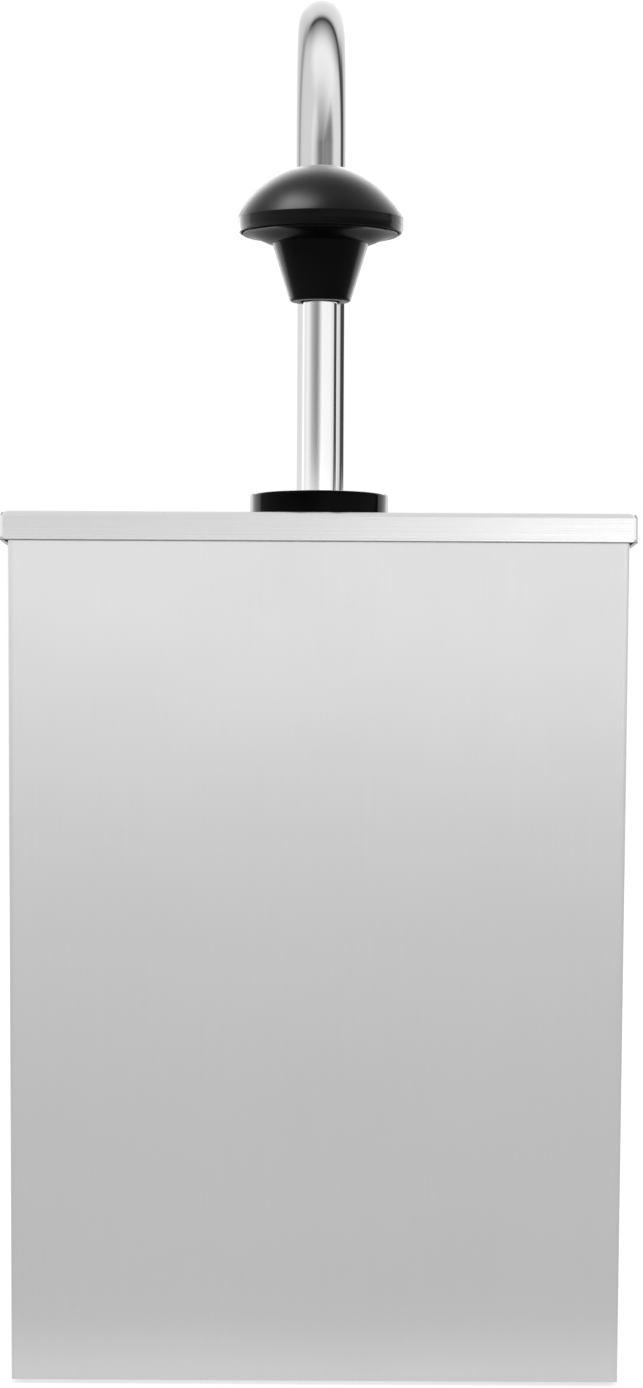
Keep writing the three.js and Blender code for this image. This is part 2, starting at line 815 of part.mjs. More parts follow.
function makeRiserNut() {
  const threadRadius = elbowRadius + seatGap;
  const nutCeiling = elbowTop + riserSealHeight + 2 * seatGap;
  const outline = [
    [threadRadius, elbowTop - riserNutGrip],
    [threadRadius + riserNutWall, elbowTop - riserNutGrip],
    [threadRadius + riserNutWall, nutCeiling + riserNutWall],
    [riserSocketRadius, nutCeiling + riserNutWall],
    [riserSocketRadius, nutCeiling],
    [threadRadius, nutCeiling],
  ];
  return turned(outline, innerSegments);
}

const riserSealBottom = elbowTop + seatGap;
const riserSealTop = riserSealBottom + riserSealHeight;
const riserSeal = plainRing(tubeRadius + sealGap, elbowRadius, riserSealBottom, riserSealTop, innerSegments);

addPiece(discharge, 'port_gasket', makePortGasket(), clearSilicone);
addPiece(discharge, 'outlet_elbow', makeElbow(), whitePlastic);
addPiece(discharge, 'outlet_ball', makeBall(outletBallRadius, outletBallRest), polishedSteel);
addPiece(discharge, 'outlet_stop_pin', makeStopPin(), polishedSteel);
addPiece(discharge, 'riser_seal', riserSeal, blackRubber);
addPiece(discharge, 'riser_nut', makeRiserNut(), brushedSteel);

// Grommet: guides the riser through its hole in the lid
function makeGrommet() {
  const inner = tubeRadius + seatGap;
  const lip = grommetRadius + grommetLip;
  const grooveBottom = lidUnderside - seatGap;
  const grooveTop = lidTop + seatGap;
  const outline = [
    [inner, grooveBottom - grommetFlange],
    [lip, grooveBottom - grommetFlange],
    [lip, grooveBottom],
    [grommetRadius, grooveBottom],
    [grommetRadius, grooveTop],
    [lip, grooveTop],
    [lip, grooveTop + grommetFlange],
    [inner, grooveTop + grommetFlange],
  ];
  return turned(outline, innerSegments);
}

addPiece(discharge, 'riser_grommet', makeGrommet(), blackRubber);

// Discharge tube: a straight riser, a half turn and a short leg down to the open spout
function makeDischargeTube() {
  const stations = [{ y: 0, z: riserShoulder + seatGap, angle: 0 }];
  for (let step = 0; step <= bendSteps; step += 1) {
    const angle = (step / bendSteps) * Math.PI;
    stations.push({
      y: bendRadius * (1 - Math.cos(angle)),
      z: bendStart + bendRadius * Math.sin(angle),
      angle,
    });
  }
  stations.push({ y: 2 * bendRadius, z: bendStart - spoutDrop, angle: Math.PI });
  const ringAt = (station, radius) => {
    const ring = [];
    for (let side = 0; side < tubeSides; side += 1) {
      const turn = (side / tubeSides) * Math.PI * 2;
      const outward = radius * Math.sin(turn);
      const x = radius * Math.cos(turn);
      const y = station.y + outward * Math.cos(station.angle);
      const z = station.z - outward * Math.sin(station.angle);
      ring.push(new THREE.Vector3(x, y, z));
    }
    return ring;
  };
  const outside = stations.map((station) => ringAt(station, tubeRadius));
  const inside = stations.map((station) => ringAt(station, tubeRadius - tubeWall));
  return ringSolid([...outside, ...inside.reverse()], true);
}

addPiece(discharge, 'discharge_tube', makeDischargeTube(), polishedSteel);

export default assembly;
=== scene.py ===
import math

import bmesh
import bpy
from mathutils import Matrix, Vector
from mathutils.geometry import interpolate_bezier


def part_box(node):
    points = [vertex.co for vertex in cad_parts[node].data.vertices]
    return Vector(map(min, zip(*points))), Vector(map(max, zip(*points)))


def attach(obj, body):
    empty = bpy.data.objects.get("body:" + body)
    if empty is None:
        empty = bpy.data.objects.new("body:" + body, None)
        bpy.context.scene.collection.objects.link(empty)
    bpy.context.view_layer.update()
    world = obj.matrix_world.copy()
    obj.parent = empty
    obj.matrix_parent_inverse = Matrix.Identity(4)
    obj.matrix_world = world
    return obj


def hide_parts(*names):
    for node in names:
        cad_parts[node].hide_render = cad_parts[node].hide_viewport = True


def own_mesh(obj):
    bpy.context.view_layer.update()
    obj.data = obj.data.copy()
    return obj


# Sauce dispenser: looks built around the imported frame. Piece sizes are in millimetres, +Z up,
# and the knob's side is -Y.
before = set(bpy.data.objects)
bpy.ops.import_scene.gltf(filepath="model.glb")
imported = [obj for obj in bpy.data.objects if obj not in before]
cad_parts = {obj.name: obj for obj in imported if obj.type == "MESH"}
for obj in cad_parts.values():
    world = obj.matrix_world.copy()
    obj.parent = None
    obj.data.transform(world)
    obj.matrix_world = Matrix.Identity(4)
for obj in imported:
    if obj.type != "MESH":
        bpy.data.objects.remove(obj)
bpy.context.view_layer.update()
scene = bpy.context.scene
mm = 0.001


def corners(node):
    low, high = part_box(node)
    return low / mm, high / mm


def roundExtent(node):
    low, high = corners(node)
    return low, high, (high.x - low.x) / 2


def boxExtent(node):
    low, high = corners(node)
    return low, high, Vector((high.x - low.x, high.y - low.y)) / 2


def middleOf(node):
    low, high = corners(node)
    return (low + high) / 2


def addObject(name, data):
    added = bpy.data.objects.new(name, data)
    scene.collection.objects.link(added)
    return added


housingMiddle = middleOf("housing_shell")
pumpAxis = middleOf("plunger_rod")
riserAxis = middleOf("riser_nut")


# Camera: level with the body, on the knob's side
cameraSetup = {
    "lens": 108.9,
    "sensorWidth": 36,
    "clip": (0.01, 50),  # metres
    "distance": 1.255,   # metres, from the near wall
    "eyeHeight": 0.1826,
    "sideways": 0.0012,
    "rise": 0.0584,      # upward shift, as a share of the frame's height
    "roll": 0.3,         # degrees
}


def placeCamera():
    data = bpy.data.cameras.new("photoCamera")
    data.lens = cameraSetup["lens"]
    data.sensor_width = cameraSetup["sensorWidth"]
    data.shift_y = cameraSetup["rise"]
    data.clip_start, data.clip_end = cameraSetup["clip"]
    camera = addObject("photoCamera", data)
    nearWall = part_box("housing_shell")[0].y
    place = Vector((cameraSetup["sideways"], nearWall - cameraSetup["distance"], cameraSetup["eyeHeight"]))
    upright = Matrix.Rotation(math.radians(90), 4, "X")
    roll = Matrix.Rotation(math.radians(cameraSetup["roll"]), 4, "Z")
    camera.matrix_world = Matrix.Translation(place) @ upright @ roll
    scene.camera = camera


placeCamera()
scene.view_settings.view_transform = "Standard"
print("camera placed")


# Studio: brightness seen in each direction round the object, by degrees
studio = {
    # low wall round the room, from -180 (behind) over -90 (left) and 0 (camera side) to 180
    "wall": [(-180, 0.85), (-165, 1), (-150, 1.3), (-139, 1.1), (-128, 0.95), (-100, 1), (-40, 1.26),
             (-8, 1.07), (-1, 1.05), (1.2, 1.15), (3.2, 1.85), (14, 1.85), (22, 1.32), (88, 1.2), (102, 0.5),
             (112, 0.1), (118, 0.1), (124, 0.8), (140, 1.2), (155, 1.3), (165, 1), (180, 0.85)],
    # band above the wall, in the same directions
    "band": [(-180, 0.85), (-165, 1.1), (-150, 1.4), (-139, 1.1), (-129, 0.9), (-110, 0.85), (-100, 0.9),
             (-87, 0.98), (-69, 0.75), (-54, 0.48), (-39, 0.34), (-22, 0.25), (-9, 0.4), (4.5, 0.75),
             (17, 1.03), (76, 0.98), (88, 0.88), (105, 0.84), (111, 0.3), (115, 0.06), (149, 0.06),
             (156, 0.6), (162, 1.2), (168, 1.1), (180, 0.85)],
    # higher up, by the angle away from the camera's side
    "right": [(0, 0.19), (27, 0.27), (46, 0.25), (53, 0.36), (59, 0.62), (65, 0.84), (98, 0.86), (105, 0.55),
              (109, 0.08), (124, 0.08), (134, 0.6), (150, 0.75), (165, 0.9), (180, 0.9)],
    "left": [(0, 0.19), (9, 0.19), (15, 0.32), (23, 0.58), (32, 0.8), (42, 0.9), (52, 0.77), (94, 0.76),
             (108, 0.7), (117, 0.4), (123, 0.4), (132, 0.66), (150, 0.75), (165, 0.9), (180, 0.9)],
    "over": [(0, 0.19), (8, 0.19), (13, 0.32), (30, 0.54), (44, 0.76), (58, 0.95), (73, 1.02), (82, 1.02),
             (91, 0.86), (102, 0.47), (109, 0.24), (113, 0.08), (115, 0.04), (119, 0.42), (122, 0.68),
             (128, 0.8), (138, 0.85), (150, 0.95), (166, 1.3), (180, 1)],
    "floorTone": 0.6,
    "floorTop": (0.1, 0.6),
    "wallTop": (3.6, 4),
    "bandTop": (7.1, 7.6),
    "rightBlend": (0.66, 0.92),
    "leftBlend": (0.35, 0.75),
    "leastAcross": 0.0001,   # keeps straight ahead and straight behind from dividing by 0
}
# painted light: the floor glows brighter close to the housing, in reflections only, standing in for light
# bounced off the steel
floorLook = {"size": 12, "tone": 0.56, "cameraLift": 0.66, "glossLift": 0.195, "paintedBounceLift": 0.13,
             "paintedBounceReach": (0.03, 0.13)}
softbox = {"place": (-0.72, -0.72, 1.42), "aim": (0, -0.03, 0.36), "size": (1, 0.95), "power": 185}
rimLamps = {
    "distance": 1.5,
    "left": {"direction": -138, "height": 0.92, "size": (1.26, 1.8), "power": 18},
    "right": {"direction": 138, "height": 0.92, "size": (1.26, 1.8), "power": 18},
    "rear": {"direction": 180, "height": 1.6, "size": (1.6, 1.6), "power": 50},
}


def grey(tone):
    return (tone, tone, tone, 1)


def addNode(tree, kind, **settings):
    node = tree.nodes.new(kind)
    for name, value in settings.items():
        setattr(node, name, value)
    return node


def join(tree, source, target):
    tree.links.new(source, target)


def feed(tree, value, socket):
    if isinstance(value, (int, float, tuple)):
        socket.default_value = value
    else:
        join(tree, value, socket)


def axes(tree, vector):
    split = addNode(tree, "ShaderNodeSeparateXYZ")
    join(tree, vector, split.inputs[0])
    return split.outputs


def mathNode(tree, operation, *values):
    node = addNode(tree, "ShaderNodeMath", operation=operation)
    for socket, value in zip(node.inputs, values):
        feed(tree, value, socket)
    return node.outputs[0]


def rangeNode(tree, value, fromLow, fromHigh, toLow=0.0, toHigh=1.0, smooth=False):
    node = addNode(tree, "ShaderNodeMapRange", interpolation_type="SMOOTHSTEP" if smooth else "LINEAR")
    join(tree, value, node.inputs["Value"])
    ends = {"From Min": fromLow, "From Max": fromHigh, "To Min": toLow, "To Max": toHigh}
    for name, number in ends.items():
        node.inputs[name].default_value = number
    return node.outputs["Result"]


def blendNode(tree, weight, first, second):
    node = addNode(tree, "ShaderNodeMix", data_type="FLOAT")
    join(tree, weight, node.inputs[0])
    feed(tree, first, node.inputs[2])
    feed(tree, second, node.inputs[3])
    return node.outputs[0]


def toneRamp(tree, share, tones, lowest, highest):
    node = addNode(tree, "ShaderNodeValToRGB")
    ramp = node.color_ramp
    ramp.interpolation = "LINEAR"
    while len(ramp.elements) > 1:
        ramp.elements.remove(ramp.elements[-1])
    for index, (degrees, tone) in enumerate(tones):
        position = (degrees - lowest) / (highest - lowest)
        element = ramp.elements[0] if index == 0 else ramp.elements.new(position)
        element.position = position
        element.color = grey(tone)
    join(tree, share, node.inputs["Fac"])
    return node.outputs["Color"]


def buildStudio():
    world = bpy.data.worlds.new("studio")
    scene.world = world
    world.use_nodes = True
    tree = world.node_tree
    tree.nodes.clear()
    x, y, z = axes(tree, addNode(tree, "ShaderNodeTexCoord").outputs["Generated"])
    toFront = mathNode(tree, "MULTIPLY", y, -1)
    away = mathNode(tree, "DIVIDE", mathNode(tree, "ARCCOSINE", toFront), math.pi)
    acrossSquared = mathNode(tree, "SUBTRACT", 1, mathNode(tree, "MULTIPLY", y, y))
    across = mathNode(tree, "SQRT", mathNode(tree, "MAXIMUM", acrossSquared, studio["leastAcross"]))
    side = mathNode(tree, "DIVIDE", x, across)
    otherSide = mathNode(tree, "MULTIPLY", side, -1)
    right, left, over = (toneRamp(tree, away, studio[part], 0, 180) for part in ("right", "left", "over"))
    upper = blendNode(tree, rangeNode(tree, side, *studio["rightBlend"], smooth=True), over, right)
    upper = blendNode(tree, rangeNode(tree, otherSide, *studio["leftBlend"], smooth=True), upper, left)
    bearing = rangeNode(tree, mathNode(tree, "ARCTAN2", x, toFront), -math.pi, math.pi)
    wall, band = (toneRamp(tree, bearing, studio[part], -180, 180) for part in ("wall", "band"))
    height = mathNode(tree, "ARCSINE", z)
    room = studio["floorTone"]
    for edge, part in (("floorTop", wall), ("wallTop", band), ("bandTop", upper)):
        bottom, top = (math.radians(angle) for angle in studio[edge])
        room = blendNode(tree, rangeNode(tree, height, bottom, top, smooth=True), room, part)
    seen = addNode(tree, "ShaderNodeLightPath").outputs["Is Camera Ray"]
    tone = blendNode(tree, seen, room, 1.0)
    background = addNode(tree, "ShaderNodeBackground")
    join(tree, tone, background.inputs["Strength"])
    output = addNode(tree, "ShaderNodeOutputWorld")
    join(tree, background.outputs[0], output.inputs["Surface"])
    background.inputs["Color"].default_value = grey(1)


def placeFloor():
    bm = bmesh.new()
    bmesh.ops.create_grid(bm, x_segments=1, y_segments=1, size=floorLook["size"] / 2)
    mesh = bpy.data.meshes.new("floor")
    bm.to_mesh(mesh)
    bm.free()
    floor = addObject("floor", mesh)
    material = bpy.data.materials.new("paleFloor")
    material.use_nodes = True
    tree = material.node_tree
    tree.nodes.clear()
    matte = addNode(tree, "ShaderNodeBsdfDiffuse")
    matte.inputs["Color"].default_value = grey(floorLook["tone"])
    lift = addNode(tree, "ShaderNodeEmission")
    path = addNode(tree, "ShaderNodeLightPath")
    low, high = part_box("housing_shell")
    spot = axes(tree, addNode(tree, "ShaderNodeTexCoord").outputs["Object"])
    beside = []
    for along, near, far in zip(spot, low.xy, high.xy):
        fromMiddle = mathNode(tree, "ABSOLUTE", mathNode(tree, "SUBTRACT", along, (near + far) / 2))
        beside.append(mathNode(tree, "SUBTRACT", fromMiddle, (far - near) / 2))
    outside = mathNode(tree, "MAXIMUM", *beside)
    # painted light: extra glow on the floor near the housing, seen only in reflections, stands in for light
    # bounced off the steel
    paintedBounce = rangeNode(tree, outside, *floorLook["paintedBounceReach"], floorLook["paintedBounceLift"], 0)
    gloss = mathNode(tree, "MULTIPLY", path.outputs["Is Glossy Ray"],
                     mathNode(tree, "ADD", paintedBounce, floorLook["glossLift"]))
    camera = mathNode(tree, "MULTIPLY", path.outputs["Is Camera Ray"], floorLook["cameraLift"])
    join(tree, mathNode(tree, "ADD", gloss, camera), lift.inputs["Strength"])
    both = addNode(tree, "ShaderNodeAddShader")
    join(tree, matte.outputs[0], both.inputs[0])
    join(tree, lift.outputs[0], both.inputs[1])
    join(tree, both.outputs[0], addNode(tree, "ShaderNodeOutputMaterial").inputs["Surface"])
    mesh.materials.append(material)


def placeLamp(name, place, aim, size, power, lit):
    data = bpy.data.lights.new(name, "AREA")
    data.shape = "RECTANGLE"
    data.size, data.size_y = size
    data.energy = power
    lamp = addObject(name, data)
    facing = (Vector(aim) - Vector(place)).to_track_quat("-Z", "Y").to_matrix().to_4x4()
    lamp.matrix_world = Matrix.Translation(place) @ facing
    lamp.visible_camera = False
    lamp.light_linking.receiver_collection = lit


def placeLamps():
    knobParts = bpy.data.collections.new("litBySoftbox")
    placeLamp("softbox", softbox["place"], softbox["aim"], softbox["size"], softbox["power"], knobParts)
    blackParts = bpy.data.collections.new("litByRimLamps")
    for side in ("left", "right", "rear"):
        lamp = rimLamps[side]
        angle = math.radians(lamp["direction"])
        place = Vector((math.sin(angle), -math.cos(angle), 0)) * rimLamps["distance"]
        place.z = lamp["height"]
        placeLamp(f"{side}RimLamp", place, (0, 0, lamp["height"]), lamp["size"], lamp["power"], blackParts)
    return knobParts, blackParts


buildStudio()
placeFloor()
litBySoftbox, litByRimLamps = placeLamps()
print("studio built")


# Finishes. Grain is given as features per metre along x, y and z.
surfaceNoise = {
    "span": (0.3, 0.7),        # the part of the noise's range that counts
    "smudgeScale": 18,         # per metre, on steel
    "cloudScale": 90,          # per metre, on plastic
    "steelDepth": 0.00005,     # metres
    "plasticDepth": 0.00008,
}


def startMaterial(name):
    material = bpy.data.materials.new(name)
    material.use_nodes = True
    tree = material.node_tree
    shader = tree.nodes["Principled BSDF"]
    place = addNode(tree, "ShaderNodeTexCoord").outputs["Object"]
    return material, tree, shader, place


def noiseAt(tree, place, scale, detail=4.0, roughness=0.6):
    mapping = addNode(tree, "ShaderNodeMapping")
    mapping.inputs["Scale"].default_value = scale
    join(tree, place, mapping.inputs["Vector"])
    noise = addNode(tree, "ShaderNodeTexNoise")
    noise.inputs["Scale"].default_value = 1
    noise.inputs["Detail"].default_value = detail
    noise.inputs["Roughness"].default_value = roughness
    join(tree, mapping.outputs[0], noise.inputs["Vector"])
    return noise.outputs["Fac"]


def shadeBetween(tree, share, first, second):
    node = addNode(tree, "ShaderNodeMix", data_type="RGBA")
    join(tree, share, node.inputs[0])
    feed(tree, first, node.inputs[6])
    feed(tree, second, node.inputs[7])
    return node.outputs[2]


def bumpFrom(tree, height, strength, distance):
    bump = addNode(tree, "ShaderNodeBump")
    bump.inputs["Strength"].default_value = strength
    bump.inputs["Distance"].default_value = distance
    join(tree, height, bump.inputs["Height"])
    return bump.outputs["Normal"]


def belowHeight(tree, place, height, blur):
    return rangeNode(tree, axes(tree, place)[2], (height - blur) * mm, (height + blur) * mm, 1, 0)


steelLooks = {
    "bodySteel": {"tone": 0.91, "spread": 0.025, "roughness": (0.34, 0.36), "anisotropy": 1.0,
                  "grain": (3200, 3200, 14), "bump": 0.2},
    "lidSteel": {"tone": 0.83, "spread": 0.01, "roughness": (0.13, 0.15),
                 "grain": (12, 3200, 3200), "bump": 0.1, "foldRoughness": 0.1,
                 # painted shade: the lid's lowest edge is darkened to stand in for the shadow gap under the
                 # lid
                 "paintedGapShade": {"height": 0.2, "blur": 0.05, "tone": 0.22}},
    "tubSteel": {"tone": 0.78, "spread": 0.03, "roughness": (0.28, 0.36),
                 "grain": (30, 30, 900), "bump": 0.1},
    "machinedSteel": {"tone": 0.74, "spread": 0.03, "roughness": (0.2, 0.28),
                      "grain": (200, 200, 2600), "bump": 0.12},
    "polishedSteel": {"tone": 0.82, "spread": 0.01, "roughness": (0.05, 0.08),
                      "grain": (160, 160, 40), "bump": 0.01},
    "rodSteel": {"tone": 0.92, "spread": 0.01, "roughness": (0.05, 0.08),
                 "grain": (160, 160, 40), "bump": 0.01},
}


def makeSteel(name, look):
    material, tree, shader, place = startMaterial(name)
    shader.inputs["Metallic"].default_value = 1
    shader.inputs["Anisotropic"].default_value = look.get("anisotropy", 0)
    grain = noiseAt(tree, place, look["grain"])
    tone, spread = look["tone"], look["spread"]
    colour = shadeBetween(tree, grain, grey(tone - spread), grey(tone + spread))
    if "paintedGapShade" in look:    # painted shade: a dark band along the lid's lowest edge stands in for the shadow in the gap between the lid and the housing
        gapShade = look["paintedGapShade"]
        edge = belowHeight(tree, place, corners("lid")[0].z + gapShade["height"], gapShade["blur"])
        colour = shadeBetween(tree, edge, colour, grey(gapShade["tone"]))
    join(tree, colour, shader.inputs["Base Color"])
    smudge = noiseAt(tree, place, (surfaceNoise["smudgeScale"],) * 3, detail=3)
    roughness = rangeNode(tree, smudge, *surfaceNoise["span"], *look["roughness"])
    if "foldRoughness" in look:    # the stretched metal along a fold is duller than the flat sheet
        upwards = axes(tree, addNode(tree, "ShaderNodeTexCoord").outputs["Normal"])[2]
        fold = mathNode(tree, "MULTIPLY", upwards, mathNode(tree, "SUBTRACT", 1, upwards))
        folded = mathNode(tree, "MULTIPLY", fold, 4 * look["foldRoughness"])    # the fold's middle is 1/4
        roughness = mathNode(tree, "ADD", roughness, mathNode(tree, "MAXIMUM", folded, 0))
    join(tree, roughness, shader.inputs["Roughness"])
    join(tree, bumpFrom(tree, grain, look["bump"], surfaceNoise["steelDepth"]), shader.inputs["Normal"])
    return material


deepBlack = {"dark": (0.0005, 0.0005, 0.0006, 1), "light": (0.001, 0.001, 0.0011, 1)}
plasticLooks = {
    "knobPlastic": {**deepBlack, "roughness": (0.37, 0.43), "grain": 2200, "bump": 0.1, "specular": 0.05,
                    "sheen": 0.25, "sheenRoughness": 0.35,
                    "rimBand": {"height": 4.4, "blur": 0.1, "roughness": 0.12}},
    "knobConePlastic": {**deepBlack, "roughness": (0.18, 0.22), "grain": 2200, "bump": 0.1, "specular": 0.075,
                        "sheen": 0.08, "sheenRoughness": 0.25},
    "collarPlastic": {**deepBlack, "roughness": (0.08, 0.11), "grain": 1200, "bump": 0.02, "specular": 0.05,
                      "sheen": 0.035, "sheenRoughness": 0.25},
    "whitePlastic": {"dark": (0.7, 0.69, 0.66, 1), "light": (0.78, 0.77, 0.74, 1), "roughness": (0.4, 0.5),
                     "grain": 1500, "bump": 0.08, "specular": 0.5},
    "rubber": {"dark": grey(0.014), "light": grey(0.03), "roughness": (0.6, 0.75),
               "grain": 1800, "bump": 0.3, "specular": 0.4},
    "silicone": {"dark": (0.62, 0.6, 0.55, 1), "light": (0.72, 0.7, 0.65, 1), "roughness": (0.45, 0.55),
                 "grain": 900, "bump": 0.06, "specular": 0.4},
}


def makePlastic(name, look):
    material, tree, shader, place = startMaterial(name)
    shader.inputs["Specular IOR Level"].default_value = look["specular"]
    if "sheen" in look:
        shader.inputs["Sheen Weight"].default_value = look["sheen"]
        shader.inputs["Sheen Roughness"].default_value = look["sheenRoughness"]
    grain = noiseAt(tree, place, (look["grain"],) * 3, detail=3)
    cloud = noiseAt(tree, place, (surfaceNoise["cloudScale"],) * 3, detail=2)
    join(tree, shadeBetween(tree, cloud, look["dark"], look["light"]), shader.inputs["Base Color"])
    roughness = rangeNode(tree, cloud, *surfaceNoise["span"], *look["roughness"])
    if "rimBand" in look:    # the band below the dome is smoother than the dome
        band = look["rimBand"]
        inBand = belowHeight(tree, place, corners("knob_cap")[0].z + band["height"], band["blur"])
        roughness = blendNode(tree, inBand, roughness, band["roughness"])
    join(tree, roughness, shader.inputs["Roughness"])
    join(tree, bumpFrom(tree, grain, look["bump"], surfaceNoise["plasticDepth"]), shader.inputs["Normal"])
    return material


finishes = {name: makeSteel(name, look) for name, look in steelLooks.items()}
finishes.update({name: makePlastic(name, look) for name, look in plasticLooks.items()})
print("finishes made")


# Shared ways of making a piece, in millimetres. An outline's point is its distance from the axis, its
# height and, for a rounded corner, that rounding's radius.
assemblyGap = 0.3       # between pieces that are screwed or pressed together
mergeDistance = 0.002
sameHeight = 0.01       # heights closer than this count as one
skinDepth = 0.05        # points this near a surface count as on it
origin = Vector((0, 0, 0))


def move(bm, vec, verts=None):
    bmesh.ops.translate(bm, vec=vec, verts=verts or bm.verts)


def swing(bm, angle, axis, verts=None):
    bmesh.ops.rotate(bm, cent=origin, matrix=Matrix.Rotation(angle, 3, axis), verts=verts or bm.verts)


def edgesIn(parts):
    return [part for part in parts if isinstance(part, bmesh.types.BMEdge)]


def camelCase(node):
    first, second = node.split("_")
    return first + second.capitalize()


def rounded(bm, parts, radius, segments=4, affect="EDGES"):
    bmesh.ops.bevel(bm, geom=parts, offset=radius, offset_type="OFFSET", segments=segments,
                    profile=0.5, affect=affect, material=-1)


def closeUp(bm):
    bmesh.ops.remove_doubles(bm, verts=bm.verts, dist=mergeDistance)
    bmesh.ops.recalc_face_normals(bm, faces=bm.faces)


def thicken(bm, thickness):
    closeUp(bm)
    bmesh.ops.solidify(bm, geom=bm.faces[:], thickness=thickness)


def finishPiece(bm, name, finish, body, nodes, sharpAngle=32):
    bmesh.ops.scale(bm, vec=(mm, mm, mm), verts=bm.verts)
    mesh = bpy.data.meshes.new(name)
    bm.to_mesh(mesh)
    bm.free()
    mesh.shade_smooth()
    mesh.set_sharp_from_angle(angle=math.radians(sharpAngle))
    mesh.materials.append(finishes[finish])
    piece = addObject(name, mesh)
    weigh = piece.modifiers.new("evenShading", "WEIGHTED_NORMAL")
    weigh.keep_sharp = True
    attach(piece, body)
    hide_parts(*nodes)
    return piece


def drawOutline(bm, points, closed):
    verts = [bm.verts.new((point[0], 0, point[1])) for point in points]
    for first, second in zip(verts, verts[1:]):
        bm.edges.new((first, second))
    if closed:
        bm.edges.new((verts[-1], verts[0]))
    for vert, (_, _, *rounding) in zip(verts, points):
        if rounding:
            rounded(bm, [vert], rounding[0], affect="VERTICES")


def turn(points, axis, segments=96, closed=False):
    bm = bmesh.new()
    drawOutline(bm, points, closed)
    bmesh.ops.spin(bm, geom=bm.verts[:] + bm.edges[:], cent=origin, axis=(0, 0, 1), angle=math.tau,
                   steps=segments, use_merge=True)
    closeUp(bm)
    move(bm, (axis.x, axis.y, 0))
    return bm


def circleAt(bm, radius, segments, place):
    verts = bmesh.ops.create_circle(bm, cap_ends=False, radius=radius, segments=segments)["verts"]
    move(bm, place, verts)
    return verts


def ringOutline(inner, outer, low, high, rounding):
    return [(inner, low, rounding), (outer, low, rounding), (outer, high, rounding), (inner, high, rounding)]


def cornerLoop(bm, half, radius, height, inset=0.0, segments=8):
    before = set(bm.faces)
    verts = bmesh.ops.create_grid(bm, x_segments=1, y_segments=1, size=1)["verts"]
    bmesh.ops.scale(bm, vec=(half.x - inset, half.y - inset, 1), verts=verts)
    move(bm, (0, 0, height), verts)
    rounded(bm, verts, radius, segments, affect="VERTICES")
    faces = [face for face in bm.faces if face not in before]
    edges = list(faces[0].edges)
    bmesh.ops.delete(bm, geom=faces, context="FACES_ONLY")
    return edges


def bridge(bm, first, second):
    bmesh.ops.bridge_loops(bm, edges=first + second)


def roundTop(bm, half, cornerRadius, edgeRadius, height, steps=2):
    loops = []
    for step in range(steps + 1):
        angle = math.pi / 2 * step / steps
        inset = edgeRadius * (1 - math.cos(angle))
        level = height - edgeRadius * (1 - math.sin(angle))
        loops.append(cornerLoop(bm, half, cornerRadius, level, inset))
    for first, second in zip(loops, loops[1:]):
        bridge(bm, first, second)
    return loops[0], loops[-1]


def fillLoop(bm, edges):
    bmesh.ops.edgeloop_fill(bm, edges=edges)


def toMiddle(bm):
    move(bm, (0, housingMiddle.y, 0))


# Housing: folded sheet box with a deck that the tub hangs on
housingSizes = {"draft": 2.35, "cornerRadius": 1.8, "topRadius": 1.2, "sheet": 1.2,
                "openingInset": 11.1, "openingRadius": 27}


def buildHousing():
    low, high, half = boxExtent("housing_shell")
    sizes = housingSizes
    bm = bmesh.new()
    bottom = cornerLoop(bm, half, sizes["cornerRadius"], low.z, sizes["draft"])
    top = cornerLoop(bm, half, sizes["cornerRadius"], high.z)
    opening = cornerLoop(bm, half, sizes["openingRadius"], high.z, sizes["openingInset"])
    bridge(bm, bottom, top)
    bridge(bm, top, opening)
    rounded(bm, top, sizes["topRadius"])
    thicken(bm, sizes["sheet"])
    toMiddle(bm)
    finishPiece(bm, "housingShell", "bodySteel", "housing", ["housing_shell"])


buildHousing()
print("housing built")


# Lid: flat plate with a turned-down skirt, a hole for the pump and one for the riser
lidSizes = {"cornerRadius": 1.6, "edgeRadius": 1.4, "sheet": 1.2, "pumpHole": 16.1, "riserHole": 10.5,
            "cornerLift": 1.1, "holeSegments": 64}


def buildLid():
    low, high, half = boxExtent("lid")
    sizes = lidSizes
    corner = sizes["cornerRadius"]
    bm = bmesh.new()
    bottom = cornerLoop(bm, half, corner, low.z)
    shoulder, top = roundTop(bm, half, corner, sizes["edgeRadius"], high.z)
    bridge(bm, bottom, shoulder)
    rims = []
    for axis, radius in ((pumpAxis, sizes["pumpHole"]), (riserAxis, sizes["riserHole"])):
        verts = circleAt(bm, radius, sizes["holeSegments"], (axis.x, axis.y - housingMiddle.y, high.z))
        rims += list({edge for vert in verts for edge in vert.link_edges})
    bmesh.ops.triangle_fill(bm, use_beauty=True, use_dissolve=False, edges=top + rims)
    for vert in bm.verts:    # the skirt's lower edge rises round each corner
        beyondX = abs(vert.co.x) - (half.x - corner)
        beyondY = abs(vert.co.y) - (half.y - corner)
        if vert.co.z < low.z + sameHeight and beyondX > 0 and beyondY > 0:
            vert.co.z += sizes["cornerLift"] * math.sin(2 * math.atan2(beyondY, beyondX))
    thicken(bm, sizes["sheet"])
    toMiddle(bm)
    finishPiece(bm, "lidPlate", "lidSteel", "pump_unit", ["lid"], sharpAngle=15)


buildLid()
print("lid built")


# Collar: threaded cap round the rod
collarSizes = {"round": 0.9, "rodHole": 6.1, "ceiling": 2.8, "threadRadius": 15.8, "holeRound": 0.4,
               "dishRadius": 12.5, "dishDepth": 0.4, "footRound": 0.3, "around": 128}


